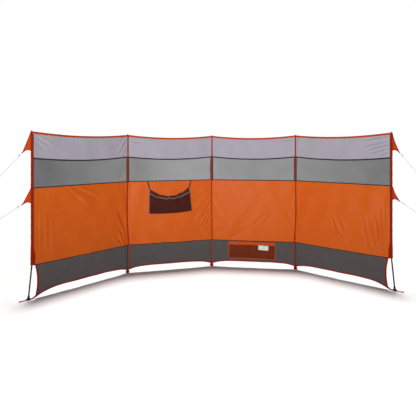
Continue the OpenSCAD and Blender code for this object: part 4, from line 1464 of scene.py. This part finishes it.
def stage_surface(name, colour, near, far):
    """A matt floor that keeps its shadows, and fades to white well away from the object."""
    material = bpy.data.materials.new(name)
    material.use_nodes = True
    tree = material.node_tree
    tree.nodes.clear()
    at = build(tree, "ShaderNodeTexCoord").outputs["Object"]
    seen = seen_by_eye(tree)
    pale = mottled(tree, at, colour, 0.01, 0.8)
    shade = build(tree, "ShaderNodeMapRange", Value=seen, To_Min=0.5, To_Max=1.0)
    toned = build(tree, "ShaderNodeVectorMath", {"operation": "SCALE"}, _0=pale, Scale=shade.outputs[0])
    matt = build(tree, "ShaderNodeBsdfDiffuse", Color=toned.outputs[0])
    away = build(tree, "ShaderNodeVectorMath", {"operation": "DISTANCE"}, _0=at, _1=FADE_MIDDLE)
    fade = build(
        tree, "ShaderNodeMapRange", {"interpolation_type": "SMOOTHSTEP"},
        Value=away.outputs["Value"], From_Min=near, From_Max=far,
    )
    white = build(tree, "ShaderNodeEmission", Color=(1, 1, 1, 1), Strength=1.0)
    share = maths(tree, "MULTIPLY", seen, fade.outputs[0])
    both = build(tree, "ShaderNodeMixShader", _0=share, _1=matt.outputs[0], _2=white.outputs[0])
    build(tree, "ShaderNodeOutputMaterial", Surface=both.outputs[0])
    return material


def lamp_at(name, kind, location, target, power):
    data = bpy.data.lights.new(name, kind)
    data.energy = power
    lamp = bpy.data.objects.new(name, data)
    bpy.context.scene.collection.objects.link(lamp)
    lamp.location = location
    aim = Vector(target) - Vector(location)
    lamp.rotation_euler = aim.to_track_quat("-Z", "Y").to_euler()
    return data


class WINDBREAK_OT_stage(WindbreakOperator):
    """Set the pale floor, the soft lamps and the camera"""

    bl_idname = "windbreak.stage"
    bl_label = "Stage"

    def execute(self, context):
        scene, stage = context.scene, context.scene.windbreak_stage
        mesh = bpy.data.meshes.new("floor")
        r = GROUND_REACH
        mesh.from_pydata([(-r, -r, 0), (r, -r, 0), (r, r, 0), (-r, r, 0)], [], [(0, 1, 2, 3)])
        surface = stage_surface("pale_floor", stage.floor_colour, stage.fade_near, stage.fade_far)
        mesh.materials.append(surface)
        floor = bpy.data.objects.new("floor", mesh)
        floor.location.z = -GROUND_DROP
        scene.collection.objects.link(floor)

        world = bpy.data.worlds.new("studio")
        scene.world = world
        world.use_nodes = True
        tree = world.node_tree
        tree.nodes.clear()
        level = build(
            tree, "ShaderNodeMapRange", Value=seen_by_eye(tree), To_Min=stage.world_level, To_Max=1.0
        )
        sky = build(tree, "ShaderNodeBackground", Color=(1, 1, 1, 1), Strength=level.outputs[0])
        build(tree, "ShaderNodeOutputWorld", Surface=sky.outputs[0])

        front = lamp_at("front_light", "SPOT", FRONT_AT, FRONT_AIM, stage.front_power)
        front.spot_size, front.spot_blend = FRONT_SPREAD, 1.0
        front.shadow_soft_size = FRONT_SIZE
        top = lamp_at("top_light", "SUN", TOP_AT, TOP_AIM, stage.top_power)
        top.angle = TOP_ANGLE

        data = bpy.data.cameras.new("camera")
        data.sensor_width = SENSOR_W
        data.lens = stage.lens
        data.shift_y = CAMERA_SHIFT
        data.clip_end = CAMERA_FAR
        camera = bpy.data.objects.new("camera", data)
        camera.location = CAMERA_AT
        camera.rotation_euler = (math.radians(90), 0, CAMERA_TURN)
        scene.collection.objects.link(camera)
        scene.camera = camera
        scene.view_settings.view_transform = "Standard"
        return {"FINISHED"}


# ---- Settings and the sidebar ----


def length(name, description, default, low=0.0, high=1.0):
    return FloatProperty(
        name=name, description=description, default=default, min=low, max=high,
        precision=4, subtype="DISTANCE", unit="LENGTH",
    )


def dye(name, description, default):
    """A colour as it looks on a screen, from 0 to 1."""
    return FloatVectorProperty(
        name=name, description=description, default=[c / 255 for c in default],
        min=0.0, max=1.0, subtype="COLOR_GAMMA",
    )


class WindbreakCloth(bpy.types.PropertyGroup):
    fold_depth: FloatProperty(
        name="Fold depth", description="How deep the cloth's folds are", default=1.3,
        min=0.0, max=2.0, subtype="FACTOR",
    )
    weave_pitch: length("Weave pitch", "Distance from one thread to the next", 0.0009, 0.0002, 0.005)


class WindbreakTrim(bpy.types.PropertyGroup):
    stitch_length: length("Stitch length", "Length of a stitch", 0.0032, 0.001, 0.02)
    stitch_step: length("Stitch step", "Distance from one stitch to the next", 0.0052, 0.001, 0.03)
    thread_width: length("Thread width", "Width of the sewing thread", 0.0008, 0.0002, 0.003)


class WindbreakDyes(bpy.types.PropertyGroup):
    grey: dye("Top band", "Colour of the top band", (172, 167, 179))
    orange: dye("Main band", "Colour of the main band", (217, 98, 28))
    flaps: dye("Flaps", "Colour of the guy flaps", (200, 72, 14))
    window: dye("Window net", "Colour of the window net", (74, 74, 77))
    skirt: dye("Skirt net", "Colour of the skirt net", (72, 65, 64))
    floor_net: dye("Floor pocket net", "Colour of the floor pocket's net", (121, 48, 24))
    pocket: dye("Hanging pocket net", "Colour of the hanging pocket's net", (80, 40, 31))
    sleeve: dye("Sleeves", "Colour of the pole sleeves", (156, 36, 4))
    hem: dye("Top hem", "Colour of the binding along the top edge", (186, 68, 18))
    skirt_hem: dye("Skirt hem", "Colour of the binding round the skirt", (150, 36, 6))
    pocket_trim: dye("Floor pocket trim", "Colour of the floor pocket's bindings", (201, 86, 37))
    binding: dye("Bindings", "Colour of the pole seams' and the flaps' bindings", (172, 48, 8))
    tape: dye("Dark tapes", "Colour of the cross seam tapes, edgings and pocket straps", (52, 44, 48))
    pocket_tape: dye("Pocket tapes", "Colour of the hanging pocket's bindings", (120, 112, 120))
    webbing: dye("Webbing", "Colour of the webbing", (168, 10, 24))
    rope: dye("Rope", "Colour of the guy ropes", (208, 206, 202))
    label: dye("Label", "Colour of the blank label", (236, 236, 234))


class WindbreakStage(bpy.types.PropertyGroup):
    floor_colour: dye("Floor", "Colour of the floor", (240, 240, 240))
    fade_near: length("Fade near", "Where the floor starts to fade to white", 2.3, 0.0, 40.0)
    fade_far: length("Fade far", "Where the floor is quite white", 3.6, 0.0, 40.0)
    world_level: FloatProperty(
        name="Surrounding light", description="Level of the light from all round", default=0.08,
        min=0.0, max=2.0,
    )
    front_power: FloatProperty(
        name="Front light", description="Power of the lamp in front", default=1040.0,
        min=0.0, max=5000.0, unit="POWER",
    )
    top_power: FloatProperty(
        name="Top light", description="Strength of the light from above", default=3.3,
        min=0.0, max=20.0,
    )
    lens: FloatProperty(
        name="Lens", description="Focal length in millimetres", default=28.209, min=5.0, max=200.0,
        subtype="DISTANCE_CAMERA",
    )


OPERATORS = (
    WINDBREAK_OT_hardware,
    WINDBREAK_OT_bands,
    WINDBREAK_OT_hems,
    WINDBREAK_OT_seams,
    WINDBREAK_OT_sleeves,
    WINDBREAK_OT_feet,
    WINDBREAK_OT_flaps,
    WINDBREAK_OT_ropes,
    WINDBREAK_OT_hanging_pocket,
    WINDBREAK_OT_floor_pocket,
    WINDBREAK_OT_stitches,
    WINDBREAK_OT_stage,
)


class WINDBREAK_PT_panel(bpy.types.Panel):
    """Lists the windbreak's settings and pieces"""

    bl_idname = "WINDBREAK_PT_panel"
    bl_label = "Windbreak"
    bl_space_type = "VIEW_3D"
    bl_region_type = "UI"
    bl_category = "Windbreak"

    def draw(self, context):
        for group in SETTINGS:
            box = self.layout.box()
            settings = getattr(context.scene, group)
            for name in settings.__annotations__:
                box.prop(settings, name)
        for operator in OPERATORS:
            self.layout.operator(operator.bl_idname)


SETTINGS = {
    "windbreak_cloth": WindbreakCloth,
    "windbreak_trim": WindbreakTrim,
    "windbreak_dyes": WindbreakDyes,
    "windbreak_stage": WindbreakStage,
}
CLASSES = (*SETTINGS.values(), *OPERATORS, WINDBREAK_PT_panel)


def register():
    for cls in CLASSES:
        bpy.utils.register_class(cls)
    for name, group in SETTINGS.items():
        setattr(bpy.types.Scene, name, PointerProperty(type=group))


def unregister():
    for name in SETTINGS:
        delattr(bpy.types.Scene, name)
    for cls in reversed(CLASSES):
        bpy.utils.unregister_class(cls)


def main():
    register()
    for operator in OPERATORS:
        group, name = operator.bl_idname.split(".")
        getattr(getattr(bpy.ops, group), name)()


if __name__ == "__main__":
    main()
